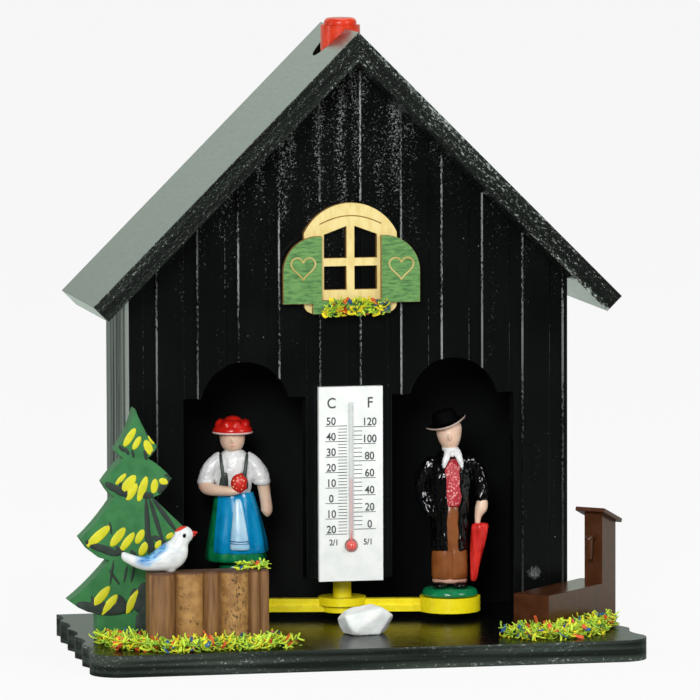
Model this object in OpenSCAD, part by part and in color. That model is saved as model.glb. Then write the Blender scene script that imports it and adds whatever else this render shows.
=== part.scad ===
// Weather house: a gabled plywood house on a garden board. A woman and a man stand on a
// beam that hangs from a gut string, and swing through the doors as the air gets dry or damp.

/* [Base board] */
// Width of the board along its front edge
base_front_w = 171.5; // [165:0.5:190]
// Width of the board along its back edge
base_back_w = 164; // [155:0.5:180]
// Depth of the board
base_d = 97; // [92:1:110]
// Thickness of the board
base_t = 6.6; // [5:0.2:10]
// How far the middle of the board lies left of the house
base_left = 3.3; // [0:0.1:4.5]
// Radius of the two front corners
base_corner_r = 9; // [4:0.5:14]
// Distance between the bites along the side edges
bite_pitch = 17.8; // [12:0.2:24]
// Length of the board's edge left between two bites
bite_lobe = 2; // [1:0.1:5]
// Depth of one bite
bite_d = 1.8; // [1:0.1:2.4]

/* [House walls] */
// Width of the house across its side walls
wall_w = 137; // [130:1:144]
// Depth of the house from the plank faces to the back panel's outside
house_d = 41.5; // [40:0.5:45]
// Height of the side walls at their outside
eave_h = 105.3; // [98:0.5:115]
// Thickness of the front and side walls
wall_t = 6.4; // [5:0.2:8]
// Thickness of the back panel
back_t = 3; // [2:0.2:3.4]
// Width of one door
door_w = 38.3; // [35:0.5:41]
// Height of a door up to the shoulders under its arch
door_h = 70.5; // [69:0.5:76]
// Radius of the arch over a door
arch_r = 14; // [10:0.5:17]
// Height of the arch's centre
arch_h = 67.5; // [64:0.5:69]
// Width of the pillar between the doors
pillar_w = 27; // [24:0.5:29]
// Clear height under the pillar, where the beam swings
pillar_clear = 14; // [11:0.5:18]
// Distance from plank to plank
plank_pitch = 12.7; // [10:0.1:16]
// Width of the groove between two planks
groove_w = 4.3; // [2:0.1:6]
// Depth of that groove
groove_d = 1.2; // [0.6:0.1:2]

/* [Roof] */
// Slope of the roof
roof_pitch = 45; // [43:0.5:47]
// Width of the roof across its eaves
roof_w = 164; // [156:1:176]
// Depth of the roof
roof_d = 59.5; // [56:0.5:66]
// How far the roof stands out in front of the front wall
roof_front = 16; // [10:0.5:18]
// Thickness of the roof panels
roof_t = 6.4; // [5:0.2:8]

/* [Chimney knob] */
// Diameter of the chimney, which is the setting knob
knob_d = 12.2; // [10:0.2:14]
// Diameter of the hole in the roof around it
knob_hole_d = 17; // [15.5:0.5:19]
// How far the knob's shoulder stands above the ridge
knob_rise = 0.8; // [0:0.1:4]
// Diameter of the cap on the knob
cap_d = 10; // [8:0.2:10]
// Height of the cap
cap_h = 2.2; // [2:0.2:4]
// Radius of the cap's rounded edge
cap_edge_r = 1.5; // [0.5:0.1:1.8]
// Thickness of the knob under the well for the gut's upper knot
knob_floor = 6.4; // [4:0.2:10]
// Diameter of the spindle under the knob
spindle_d = 6; // [5:0.2:7]
// Radial running clearance of the spindle
spindle_clear = 0.05; // [0.02:0.01:0.1]
// Height of the ridge block that the knob turns in
block_h = 14; // [10:0.5:18]
// Width of the ridge block
block_w = 34; // [28:1:44]
// Depth of the ridge block
block_d = 20; // [18:0.5:24]

/* [Beam] */
// Distance of the swing axis behind the plank faces
axis_back = 12.5; // [11.5:0.1:12.5]
// Distance of the figures from the swing axis
figure_r = 33.3; // [31:0.1:33.4]
// Angle of the beam in the stored pose, with the man's side forward
rest_angle = 10.5; // [0:0.5:14]
// Gap between the base board and the beam
beam_lift = 2.4; // [1.5:0.1:4]
// Height of the beam
beam_h = 4.6; // [3.6:0.1:5.5]
// Diameter of the two discs that carry the figures
disc_d = 18.8; // [17:0.1:19]
// Diameter of the hub's upper plate
hub_d = 14.7; // [12.5:0.1:16]
// Diameter of the hub's lower plate
hub_low_d = 12.4; // [9:0.1:12.5]
// Width of the arms' upper rail
arm_w = 3.2; // [2:0.1:4.5]
// Width of the arms' lower rail
arm_foot_w = 5; // [4.5:0.1:7]
// Height of the arms' lower rail
arm_foot_h = 1.9; // [1:0.1:2.6]
// Diameter of the stem at its foot
stem_d = 6; // [5:0.1:7]
// Diameter of the stem at its top
stem_top_d = 4.6; // [4:0.1:5]
// Height of the stem above the beam
stem_h = 14; // [10:0.5:20]
// Diameter of the gut string
gut_d = 1.2; // [0.8:0.1:1.6]
// Radial clearance of the gut in its holes
gut_clear = 0.1; // [0.05:0.01:0.1]
// Diameter of the knots at the gut's ends
knot_d = 3; // [2.4:0.1:3.4]
// Height of a knot
knot_h = 1.6; // [1:0.1:2]

/* [Figures] */
// Height of the woman without her stand
woman_h = 53.6; // [50:0.2:56]
// Height of the man without his stand
man_h = 57; // [53:0.2:59]
// Height of the green stand under a figure
stand_h = 2.7; // [2:0.1:3.5]
// Diameter of that stand at its foot
stand_d = 17.4; // [15:0.1:17.8]

/* [Thermometer] */
// Width of the thermometer card
card_w = 20; // [17:0.5:23]
// Height of the card
card_h = 60; // [52:1:62]
// Thickness of the card
card_t = 2; // [1.9:0.1:3]
// Height of the card's lower edge above the base board
card_up = 13.5; // [10:0.5:18]
// Diameter of the glass tube
tube_d = 1.6; // [1.2:0.1:2.2]
// Bore of the glass tube
tube_bore = 0.7; // [0.4:0.1:0.9]
// Diameter of the glass bulb
bulb_d = 4.2; // [3.4:0.1:4.6]
// Height of the bulb's centre above the card's lower edge
bulb_up = 11; // [8:0.5:14]
// Length of the tube above the bulb's centre
tube_l = 44; // [36:1:46]
// Height of the red column above the bulb's centre
column_l = 20.5; // [6:0.5:34]
// Gap between liquid and glass
liquid_gap = 0.02; // [0.01:0.01:0.04]

/* [Window] */
// Width of the window frame
window_w = 29; // [26:0.5:32]
// Height of the window frame without its arch
window_h = 24.6; // [22:0.2:27]
// Rise of the arch on top of the frame
window_rise = 9.2; // [6:0.2:11]
// Height of the frame's lower edge above the base board
window_up = 96.2; // [93:0.5:102]
// Thickness of the frame
frame_t = 2.2; // [1.5:0.1:3]
// Width of one pane
pane_w = 7; // [5:0.1:8]
// Height of one pane
pane_h = 7.2; // [5:0.1:7.6]
// How much higher the upper panes are at the middle bar
pane_rise = 2.6; // [0:0.1:3.5]
// Height of the lower panes above the frame's lower edge
pane_up = 7.2; // [5.5:0.1:8]
// Width of the bars between the panes
bar_w = 2.5; // [1.5:0.1:3]
// Radius of the frame's lower corners
frame_corner_r = 3; // [1:0.1:5]
// Width across the open shutters
shutter_span = 42.6; // [39:0.2:46]
// Width of one shutter
shutter_w = 12; // [10:0.2:13]
// Height of a shutter
shutter_h = 20.6; // [17:0.2:22]
// Height of the shutters' lower edge above the frame's
shutter_up = 3.2; // [1.5:0.1:3.6]
// Width of the flower box
box_w = 24.2; // [21:0.2:26]
// Height of the flower box
box_h = 4.1; // [3.8:0.1:5]
// Thickness of the shutter plate
shutter_t = 2; // [1.5:0.1:3]

/* [Garden] */
// Distance of the fir tree's middle in front of the front wall
tree_front = 19; // [16:0.5:22]
// Distance of the tree's middle from the board's left front corner, were it sharp
tree_in = 18.5; // [17:0.1:20]
// Height of the fir tree
tree_h = 70.5; // [62:0.5:76]
// Thickness of the fir tree
tree_t = 7; // [4:0.5:9]
// Height of one log of the palisade
log_h = 22.3; // [18:0.5:28]
// Depth of the palisade
log_d = 7; // [5:0.5:9]
// How far the narrow logs stand out from the wide ones
log_step = 1; // [0:0.1:2]
// Distance of the palisade's back in front of the front wall
log_front = 31; // [28:0.5:34]
// Distance of the palisade's middle from the middle of the house
log_side = 50.6; // [47:0.2:54]
// Length of the bird from beak to tail
bird_l = 23.4; // [18:0.2:28]
// Length of the water trough
trough_l = 42.5; // [36:0.5:43]
// Width of the water trough
trough_w = 12.2; // [10:0.2:12.6]
// Height of the water trough
trough_h = 11.5; // [9:0.5:14]
// Angle of the trough to the front wall
trough_turn = 48; // [46:0.5:52]
// Height of the pump post above the trough
post_h = 21.6; // [16:0.2:26]
// Length of the pump post along the trough
post_l = 8.6; // [7:0.2:10]
// Width of the pump post across the trough
post_w = 6.2; // [5:0.2:8]
// Slope of the post's cap
post_cap_slope = 21; // [8:1:24]
// Diameter of the spout
spout_d = 1.4; // [1.2:0.1:2.6]
// How far the spout stands out from the post
spout_reach = 2.3; // [1.6:0.1:4]
// Height of the grass patches
grass_h = 3; // [1.5:0.1:4]

/* [Fasteners] */
// Diameter of the screws under the base board
screw_d = 3; // [2.4:0.1:3.6]
// Length of those screws
screw_l = 16; // [13:0.5:20]
// Diameter of the nails in the back panel
nail_d = 1.2; // [0.8:0.1:1.6]
// Length of those nails
nail_l = 10; // [8:0.5:14]

/* [Hidden] */
$fn = 48;
cut = 1;
seat_gap = 0.3;
fastener_gap = 0.02;

wall_y = base_d/2 - house_d;
axis_y = wall_y + axis_back;
ridge_in_h = eave_h + wall_w/2*tan(roof_pitch);
ridge_in_z = base_t + ridge_in_h;
ridge_z = ridge_in_z + roof_t/cos(roof_pitch);
roof_y = wall_y - roof_front;
door_x = pillar_w/2 + door_w/2;
hole_r = knob_hole_d/2;
seat_z = ridge_in_z - hole_r*tan(roof_pitch);
knob_top_z = ridge_z + knob_rise;
beam_z = base_t + beam_lift;
beam_top_z = beam_z + beam_h;
gut_bore = gut_d + 2*gut_clear;
knot_well_d = knot_d + 4*gut_clear;
gut_well_h = knob_top_z - seat_z - knob_floor;
spindle_end = spindle_d/3;
plug_d = knot_well_d - 2*fastener_gap;
card_y = wall_y - card_t;
tube_y = card_y - tube_d/4;
bulb_z = base_t + card_up + bulb_up;
frame_y = wall_y - frame_t;
shutter_y = frame_y - shutter_t;
flower_d = 2.6;
upper_up = pane_up + pane_h + bar_w;
arch_rad = (pow(window_w/2, 2) + pow(window_rise, 2))/(2*window_rise);
log_y = wall_y - log_front;
log_widths = [8, 8.9, 4.7, 9.2, 3.3, 3];
log_total = log_widths[0] + log_widths[1] + log_widths[2] + log_widths[3] + log_widths[4] + log_widths[5];
log_top_z = base_t + log_h;
tree_y = wall_y - tree_front;
tree_k = tree_h/70.5;
tree_side = base_front_w/2 + base_left - tree_in;
trunk_w = 22;
trough_reach = trough_l*sin(trough_turn) + trough_w*cos(trough_turn);
trough_x = wall_w/2 - trough_l*cos(trough_turn) + trough_w*sin(trough_turn) + 5.4;
trough_y = wall_y - trough_reach + 4.6;
screw_rows = [0.25, 0.75];
nail_rows = [0.14, 0.5, 0.86];
woman_k = woman_h/53.6;
man_k = man_h/57;
bird_k = bird_l/23.4;

wood_black = [0.07, 0.08, 0.08];
beam_yellow = [1, 0.86, 0.08];
brick_red = [0.84, 0.2, 0.08];
moss = [0.5, 0.68, 0.16];
trough_brown = [0.34, 0.21, 0.14];

// Points of an arc about c from angle a0 to a1
function arc(c, r, a0, a1, n = 8) = [for (i = [0:n]) c + r*[cos(a0 + (a1 - a0)*i/n), sin(a0 + (a1 - a0)*i/n)]];

// Points of a sagging edge from a to b, pulled towards m
function bow(a, m, b, n = 5) =
    [for (i = [0:n]) let (t = i/n) (1 - t)*(1 - t)*a + 2*t*(1 - t)*m + t*t*b];

// Half of the base board's width at depth y
function base_half(y) = base_front_w/2 + (base_back_w - base_front_w)/2*(y/base_d + 0.5);

// Sum of the first n log widths
function log_before(n) = n == 0 ? 0 : log_widths[n - 1] + log_before(n - 1);

// An outline drawn with x and z stands up at y with thickness t
module upright(y, t) {
    translate([0, y + t, 0])
        rotate([90, 0, 0])
            linear_extrude(t)
                children();
}

// The house's outline from the front
module gable() {
    polygon([[-wall_w/2, 0], [wall_w/2, 0], [wall_w/2, eave_h], [0, ridge_in_h], [-wall_w/2, eave_h]]);
}

// The shape of one door, open at the floor
module door() {
    translate([-door_w/2, -cut])
        square([door_w, door_h + cut]);
    translate([0, arch_h])
        circle(arch_r);
}

// The hole that is drilled down through the ridge for the chimney
module knob_hole() {
    translate([0, axis_y, seat_z])
        cylinder(r = hole_r, h = knob_top_z - seat_z + cut);
}

// Places of the four screws through the base board into the side walls
module screw_places() {
    for (side = [-1, 1], row = screw_rows)
        translate([side*(wall_w - wall_t)/2, wall_y + wall_t + row*(house_d - wall_t - back_t), 0])
            children();
}

// Places of the nails through the back panel into the side walls, pointing forward
module nail_places() {
    for (side = [-1, 1], row = nail_rows)
        translate([side*(wall_w - wall_t)/2, wall_y + house_d, base_t + row*eave_h])
            rotate([90, 0, 0])
                children();
}

module base_board() {
    corner = [for (side = [1, -1])
        [side*(base_half(base_corner_r - base_d/2) - base_corner_r), base_corner_r - base_d/2]];
    rows = round((base_d - base_corner_r)/bite_pitch);
    bite_w = bite_pitch - bite_lobe;
    bite_r = (bite_w*bite_w/4 + bite_d*bite_d)/(2*bite_d);
    color(wood_black)
        difference() {
            translate([-base_left, 0, 0])
                difference() {
                    linear_extrude(base_t)
                        polygon(concat([[-base_back_w/2, base_d/2], [base_back_w/2, base_d/2]],
                            arc(corner[0], base_corner_r, 0, -90), arc(corner[1], base_corner_r, -90, -180)));
                    for (side = [-1, 1], i = [0:rows - 1]) {
                        bite_y = base_corner_r + bite_lobe - base_d/2 + (i + 0.5)*bite_pitch;
                        translate([side*(base_half(bite_y) + bite_r - bite_d), bite_y, -cut])
                            cylinder(r = bite_r, h = base_t + 2*cut);
                    }
                }
            screw_places() {
                translate([0, 0, -cut])
                    cylinder(d = screw_d + 2*fastener_gap, h = base_t + 2*cut);
                translate([0, 0, -cut])
                    cylinder(d = 2*screw_d + 2*fastener_gap, h = screw_d*0.6 + cut);
            }
        }
}

module front_wall() {
    first = ceil(-wall_w/2/plank_pitch);
    color(wood_black)
        difference() {
            translate([0, 0, base_t])
                upright(wall_y, wall_t)
                    difference() {
                        gable();
                        for (side = [-1, 1])
                            translate([side*door_x, 0])
                                door();
                        translate([-pillar_w/2 - cut, -cut])
                            square([pillar_w + 2*cut, pillar_clear + cut]);
                    }
            for (k = [first:-first])
                translate([k*plank_pitch + groove_w*0.36 - groove_w/2, wall_y - cut, 0])
                    cube([groove_w, cut + groove_d, ridge_z]);
            knob_hole();
        }
}

// A side wall between the front wall and the back panel, its top cut to the roof
module side_wall(side) {
    inner_h = eave_h + wall_t*tan(roof_pitch);
    color(wood_black)
        difference() {
            translate([side*(wall_w - wall_t)/2, 0, base_t])
                upright(wall_y + wall_t, house_d - wall_t - back_t)
                    polygon([[-wall_t/2, 0], [wall_t/2, 0], [wall_t/2, side > 0 ? eave_h : inner_h],
                        [-wall_t/2, side > 0 ? inner_h : eave_h]]);
            screw_places()
                cylinder(d = screw_d + 2*fastener_gap, h = screw_l + fastener_gap);
            nail_places()
                cylinder(d = nail_d + 2*fastener_gap, h = nail_l + fastener_gap);
        }
}

module left_side_wall() {
    side_wall(-1);
}

module right_side_wall() {
    side_wall(1);
}

module back_panel() {
    color(wood_black)
        difference() {
            translate([0, 0, base_t])
                upright(wall_y + house_d - back_t, back_t)
                    gable();
            nail_places()
                translate([0, 0, -cut])
                    cylinder(d = nail_d + 2*fastener_gap, h = back_t + 2*cut);
        }
}

// One roof panel, mitred at the ridge, with its half of the knob's hole
module roof_panel(side) {
    eave_x = roof_w/2;
    eave_z = ridge_z - eave_x*tan(roof_pitch);
    color(wood_black)
        difference() {
            upright(roof_y, roof_d)
                polygon([[0, ridge_z], [side*eave_x, eave_z],
                    [side*(eave_x - roof_t*sin(roof_pitch)), eave_z - roof_t*cos(roof_pitch)], [0, ridge_in_z]]);
            knob_hole();
        }
}

module left_roof_panel() {
    roof_panel(-1);
}

module right_roof_panel() {
    roof_panel(1);
}

// Glued under the ridge against the front wall: the knob's spindle turns in it
module ridge_block() {
    shoulder_z = ridge_in_z - block_w/2*tan(roof_pitch);
    color("burlywood")
        difference() {
            upright(wall_y + wall_t, block_d)
                polygon([[-block_w/2, seat_z - block_h], [block_w/2, seat_z - block_h], [block_w/2, shoulder_z],
                    [hole_r, seat_z], [-hole_r, seat_z], [-block_w/2, shoulder_z]]);
            translate([0, axis_y, seat_z - block_h - cut])
                cylinder(d = spindle_d + 2*spindle_clear, h = block_h + 2*cut);
        }
}

module base_screws() {
    head_in = screw_d*0.6;
    color("silver")
        screw_places() {
            translate([0, 0, head_in - screw_d*0.5])
                cylinder(d = 2*screw_d, h = screw_d*0.5);
            translate([0, 0, head_in - screw_d*0.5])
                cylinder(d = screw_d, h = screw_l - head_in + screw_d*0.5);
        }
}

module back_nails() {
    color("silver")
        nail_places() {
            translate([0, 0, -nail_d/2])
                cylinder(d = 2*nail_d, h = nail_d/2);
            translate([0, 0, -nail_d/2])
                cylinder(d = nail_d, h = nail_l + nail_d/2);
        }
}

// The chimney turns on its spindle and so sets the figures
module chimney_knob() {
    color(brick_red)
        translate([0, axis_y, 0])
            difference() {
                union() {
                    translate([0, 0, seat_z])
                        cylinder(d = knob_d, h = knob_top_z - seat_z);
                    translate([0, 0, seat_z - block_h - spindle_end])
                        cylinder(d = spindle_d, h = block_h + spindle_end + cut);
                }
                translate([0, 0, knob_top_z - gut_well_h])
                    cylinder(d = knot_well_d, h = gut_well_h + cut);
                translate([0, 0, seat_z - block_h - spindle_end - cut])
                    cylinder(d = gut_bore, h = block_h + spindle_end + knob_floor + 2*cut);
            }
}

module chimney_cap() {
    color(brick_red)
        translate([0, axis_y, knob_top_z]) {
            rotate_extrude()
                polygon(concat([[0, 0], [cap_d/2, 0]],
                    [for (a = [0:15:90]) [cap_d/2 - cap_edge_r*(1 - cos(a)), cap_h - cap_edge_r*(1 - sin(a))]],
                    [[0, cap_h]]));
            translate([0, 0, knot_h - gut_well_h + seat_gap])
                cylinder(d = plug_d, h = gut_well_h - knot_h - seat_gap + cut);
        }
}

// The gut runs through the spindle and the stem, and a knot at each end carries the load
module gut_string() {
    top_z = knob_top_z - gut_well_h;
    low_z = beam_z + knot_h + gut_clear;
    color("wheat")
        translate([0, axis_y, 0]) {
            translate([0, 0, low_z - knot_h/2])
                cylinder(d = gut_d, h = top_z - low_z + knot_h);
            translate([0, 0, low_z - knot_h])
                cylinder(d = knot_d, h = knot_h);
            translate([0, 0, top_z])
                cylinder(d = knot_d, h = knot_h);
        }
}

// Things that hang on the gut, turned to the stored pose
module hung() {
    translate([0, axis_y, 0])
        rotate([0, 0, -rest_angle])
            children();
}

module swing_beam() {
    color(beam_yellow)
        hung()
            difference() {
                union() {
                    for (side = [-1, 1])
                        translate([side*figure_r, 0, beam_z])
                            cylinder(d = disc_d, h = beam_h);
                    translate([-figure_r, -arm_w/2, beam_z])
                        cube([2*figure_r, arm_w, beam_h*0.86]);
                    translate([-figure_r, -arm_foot_w/2, beam_z])
                        cube([2*figure_r, arm_foot_w, arm_foot_h]);
                    translate([0, 0, beam_z])
                        cylinder(d = hub_low_d, h = beam_h);
                    translate([0, 0, beam_z + beam_h*0.45])
                        cylinder(d = hub_d, h = beam_h*0.55);
                    translate([0, 0, beam_top_z - cut])
                        cylinder(d1 = stem_d, d2 = stem_top_d, h = stem_h + cut);
                }
                translate([0, 0, beam_z - cut])
                    cylinder(d = gut_bore, h = beam_h + stem_h + 2*cut);
                translate([0, 0, beam_z - cut])
                    cylinder(d = knot_well_d, h = knot_h + gut_clear + cut);
            }
}

// A figure's own frame: on top of its disc, facing the viewer, scaled to its height above the stand
module on_disc(side, k) {
    hung()
        translate([side*figure_r, 0, beam_top_z]) {
            cylinder(d1 = stand_d, d2 = stand_d - 2, h = stand_h);
            translate([0, 0, stand_h - 0.5])
                scale(k)
                    children();
        }
}

// A limb that tapers from a to b
module limb(a, b, ra, rb) {
    hull() {
        translate(a)
            sphere(ra, $fn = 14);
        translate(b)
            sphere(rb, $fn = 14);
    }
}

// A body section between two ovals [z, half width, half depth]
module section(low, high) {
    hull() {
        for (o = [low, high])
            translate([0, 0, o[0]])
                scale([o[1], o[2], 1])
                    cylinder(r = 1, h = 0.1, $fn = 24);
    }
}

module woman_figure() {
    color("royalblue")
        on_disc(-1, woman_k) {
            section([0, 5.4, 4.6], [9, 4.6, 4]);
            section([8.6, 9.6, 7.6], [12, 9.3, 7.4]);
            section([11.6, 9.2, 7.3], [22, 7.8, 6.2]);
            section([21.6, 7.7, 6.1], [30, 5.8, 4.6]);
            section([29.6, 5.6, 4.4], [41.6, 6.2, 4]);
            limb([-5, 0, 40.2], [-8, -0.6, 36], 2.4, 3);
            limb([5, 0, 40.2], [8, 0, 36], 2.4, 3);
            limb([-8.2, -1, 34], [-0.6, -5.4, 33], 2, 1.6);
            limb([9, 0, 34.5], [10.2, -0.6, 25], 1.9, 1.9);
            limb([1.6, -5.6, 33], [1.6, -5.8, 34.6], 2.6, 2.6);
            limb([0, 0, 42], [0, -0.3, 47.2], 2.2, 3.7);
            section([49, 6.5, 5.8], [51, 6.3, 5.6]);
            limb([-2.6, 0, 50.6], [2.6, 0, 50.6], 3.3, 3.3);
        }
}

module man_figure() {
    color("dimgray")
        on_disc(1, man_k) {
            for (side = [-1, 1])
                limb([side*3, -2.2, 1.6], [side*3, 1.5, 1.6], 2.1, 2);
            section([2, 5.6, 4.4], [12.2, 5.6, 4.4]);
            section([11.6, 5.9, 4.7], [27, 5.3, 4.3]);
            section([26.4, 5.1, 4.1], [40, 6.4, 4]);
            section([39.4, 6.2, 3.8], [43, 3, 2.6]);
            limb([-6, 0, 39.6], [-9.2, 0.4, 31.6], 2.2, 2);
            limb([-9, 0.3, 31.8], [-5.4, -1.6, 25], 2.15, 1.8);
            limb([6, 0, 40], [9.4, 0, 33.6], 2.3, 2.1);
            limb([9.3, -0.1, 33.9], [9.6, -1.4, 27], 2.3, 2);
            limb([9.6, -1.6, 26.5], [9.2, -1.8, 24], 1.7, 1.6);
            limb([9.3, -1.9, 20], [7.4, -1.9, 3.4], 2.7, 1.1);
            limb([9.15, -1.7, 24.6], [9.3, -1.8, 19], 0.8, 0.9);
            limb([-0.3, 0, 42], [-0.4, -0.3, 47.4], 2.2, 3.7);
            translate([-1.2, 0, 50.6])
                rotate([0, -14, 0]) {
                    section([0, 6.3, 5.6], [0.9, 6.1, 5.4]);
                    section([0.6, 4, 3.8], [6, 3.4, 3.2]);
                }
        }
}

module thermometer_card() {
    color("white")
        difference() {
            translate([-card_w/2, card_y, base_t + card_up])
                cube([card_w, card_t, card_h]);
            translate([0, tube_y, bulb_z]) {
                cylinder(d = tube_d + 2*liquid_gap, h = tube_l + liquid_gap);
                sphere(d = bulb_d + 2*liquid_gap);
            }
        }
}

module thermometer_tube() {
    color([0.8, 0.85, 0.85, 0.5])
        translate([0, tube_y, bulb_z])
            difference() {
                union() {
                    cylinder(d = tube_d, h = tube_l);
                    sphere(d = bulb_d);
                }
                cylinder(d = tube_bore, h = tube_l - tube_d/2);
                sphere(d = bulb_d - tube_bore);
            }
}

module thermometer_liquid() {
    color("red")
        translate([0, tube_y, bulb_z]) {
            cylinder(d = tube_bore - 2*liquid_gap, h = column_l);
            sphere(d = bulb_d - tube_bore - 2*liquid_gap);
        }
}

// The frame's arched outline with rounded lower corners, from its lower edge
module window_outline() {
    for (side = [-1, 1])
        translate([side*(window_w/2 - frame_corner_r), frame_corner_r])
            circle(frame_corner_r);
    translate([frame_corner_r - window_w/2, 0])
        square([window_w - 2*frame_corner_r, window_h]);
    translate([-window_w/2, frame_corner_r])
        square([window_w, window_h - frame_corner_r]);
    intersection() {
        translate([0, window_h + window_rise - arch_rad])
            circle(arch_rad);
        translate([-window_w/2, window_h - cut])
            square([window_w, window_rise + 2*cut]);
    }
}

module window_frame() {
    color([0.98, 0.92, 0.65])
        translate([0, 0, base_t + window_up])
            upright(frame_y, frame_t)
                difference() {
                    window_outline();
                    for (side = [-1, 1]) {
                        inner = side*bar_w/2;
                        outer = side*(bar_w/2 + pane_w);
                        polygon([[inner, pane_up], [outer, pane_up], [outer, pane_up + pane_h], [inner, pane_up + pane_h]]);
                        polygon([[inner, upper_up], [outer, upper_up], [outer, upper_up + pane_h],
                            [inner, upper_up + pane_h + pane_rise]]);
                    }
                }
}

// One shutter from its hinge edge, with a large round at its outer top corner
module shutter(side) {
    round_r = shutter_w*0.92;
    intersection() {
        translate([side > 0 ? 0 : -shutter_w, 0])
            square([shutter_w, shutter_h]);
        union() {
            translate([-shutter_w, 0])
                square([2*shutter_w, shutter_h - round_r]);
            translate([side*(shutter_w - round_r), shutter_h - round_r])
                circle(round_r);
            translate([side > 0 ? -shutter_w : round_r - shutter_w, 0])
                square([2*shutter_w - round_r, shutter_h]);
        }
    }
}

// Both open shutters and the flower box, sawn from one board
module shutter_plate() {
    color([0.38, 0.65, 0.37])
        translate([0, 0, base_t + window_up])
            upright(shutter_y, shutter_t)
                union() {
                    for (side = [-1, 1])
                        translate([side*(shutter_span/2 - shutter_w), shutter_up])
                            shutter(side);
                    translate([-box_w/2, 0])
                        square([box_w, box_h]);
                }
}

module window_flowers() {
    flower_w = box_w - 2;
    color(moss)
        translate([-flower_w/2, shutter_y - flower_d, base_t + window_up - 0.8])
            cube([flower_w, flower_d, box_h + 1.6]);
}

// Flat carved fir with four tiers; tips are [distance from the middle, height]
module fir_tree() {
    top = [0, 70.5];
    left_tips = [[-6.2, 57.9], [-10, 48.2], [-17, 31.5], [-20.6, 12.6]];
    left_notches = [[-3.6, 55.6], [-6.6, 43.8], [-8.2, 24.6], [-trunk_w/2 - 1, 8.4]];
    right_tips = [[6.7, 59], [11, 49.2], [15, 34], [18, 14]];
    right_notches = [[3.6, 55.4], [5.4, 43.4], [8, 25.6], [trunk_w/2, 8.4]];
    left_edge = [for (i = [0:3]) each concat(
        bow(i == 0 ? top : left_notches[i - 1],
            [(i == 0 ? top : left_notches[i - 1])[0]*0.9 + left_tips[i][0]*0.35, left_tips[i][1] + 4.5], left_tips[i]),
        bow(left_tips[i], [left_tips[i][0]*0.8, left_notches[i][1] + 0.6], left_notches[i], 3))];
    right_edge = [for (i = [0:3]) each concat(
        bow(i == 0 ? top : right_notches[i - 1],
            [(i == 0 ? top : right_notches[i - 1])[0]*0.9 + right_tips[i][0]*0.35, right_tips[i][1] + 4.5], right_tips[i]),
        bow(right_tips[i], [right_tips[i][0]*0.8, right_notches[i][1] + 0.6], right_notches[i], 3))];
    trunk = [[-trunk_w/2 - 1, 0], [trunk_w/2, 0]];
    color("seagreen")
        translate([-tree_side, 0, base_t])
            upright(tree_y - tree_t/2, tree_t)
                scale(tree_k)
                    polygon(concat(left_edge, trunk, [for (i = [len(right_edge) - 1:-1:0]) right_edge[i]]));
}

// A row of split logs with a flat back
module log_palisade() {
    color("peru")
        translate([-log_side - log_total/2, log_y, base_t])
            linear_extrude(log_h)
                union() {
                    translate([0, -log_d*0.5])
                        square([log_total, log_d*0.5]);
                    for (i = [0:len(log_widths) - 1])
                        translate([log_before(i) + log_widths[i]/2, -log_d*0.5 - (i % 2 == 0 ? log_step : 0)])
                            intersection() {
                                circle(log_widths[i]*0.52);
                                translate([-log_widths[i]/2, -log_widths[i]])
                                    square([log_widths[i], log_widths[i]*1.1]);
                            }
                }
}

module log_grass() {
    tuft_w = log_widths[3] + 0.6;
    color(moss)
        translate([log_total/2 - log_side - tuft_w, log_y - log_d*0.75, log_top_z])
            cube([tuft_w, log_d*0.6, grass_h*0.9]);
}

// A little bird on the left end of the palisade, its head to the right
module bird() {
    perch_x = -log_side - log_total/2 + log_widths[0]*0.8;
    color("aliceblue")
        translate([perch_x, log_y - log_d*0.5, log_top_z])
            scale(bird_k) {
                hull() {
                    cylinder(r = 1.6, h = 0.2, $fn = 16);
                    translate([-3.4, 0, 4])
                        sphere(2.2, $fn = 16);
                    translate([2.2, 0, 5])
                        sphere(3.3, $fn = 20);
                }
                limb([-3.4, 0, 4], [-12.6, 0, 6.4], 2, 1.1);
                limb([2.6, 0, 6], [5, 0, 10.4], 2.9, 2.6);
                limb([6.6, 0, 10.8], [9.4, 0, 11.4], 1.2, 0.3);
            }
}

module pebble() {
    corners = [[-7.4, 2.2, 1], [-7.9, 0, 5.4], [-4, 3, 6.4], [2.4, 0.4, 7.6], [6.6, -1.6, 3.8], [4.6, 1, 1],
        [-1, -3.4, 1.4], [5, 3.6, 4.4], [-4, -3, 4]];
    color("white")
        translate([0.8, tree_y - 4.5, base_t])
            intersection() {
                hull()
                    for (p = corners)
                        translate(p)
                            sphere(1.4, $fn = 14);
                translate([-20, -20, 0])
                    cube(40);
            }
}

// The trough's own frame: from its front corner, along its long side
module at_trough() {
    translate([trough_x, trough_y, base_t])
        rotate([0, 0, trough_turn])
            children();
}

// Trough, pump post and spout are one moulding
module water_trough() {
    post_top = trough_h + post_h;
    spout_z = trough_h + post_h*0.66;
    spout_x = trough_l - post_l - spout_reach;
    color(trough_brown)
        at_trough() {
            cube([trough_l, trough_w, trough_h]);
            upright(0, post_w)
                polygon([[trough_l - post_l, trough_h - cut], [trough_l, trough_h - cut],
                    [trough_l, post_top - post_l*tan(post_cap_slope)], [trough_l - post_l, post_top]]);
            translate([spout_x, post_w/2, spout_z])
                rotate([0, 90, 0])
                    cylinder(d = spout_d, h = spout_reach + cut);
            translate([spout_x, post_w/2, spout_z - post_h*0.3])
                cylinder(d = spout_d, h = post_h*0.3);
            translate([spout_x, post_w/2, spout_z])
                sphere(d = spout_d);
        }
}

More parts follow.
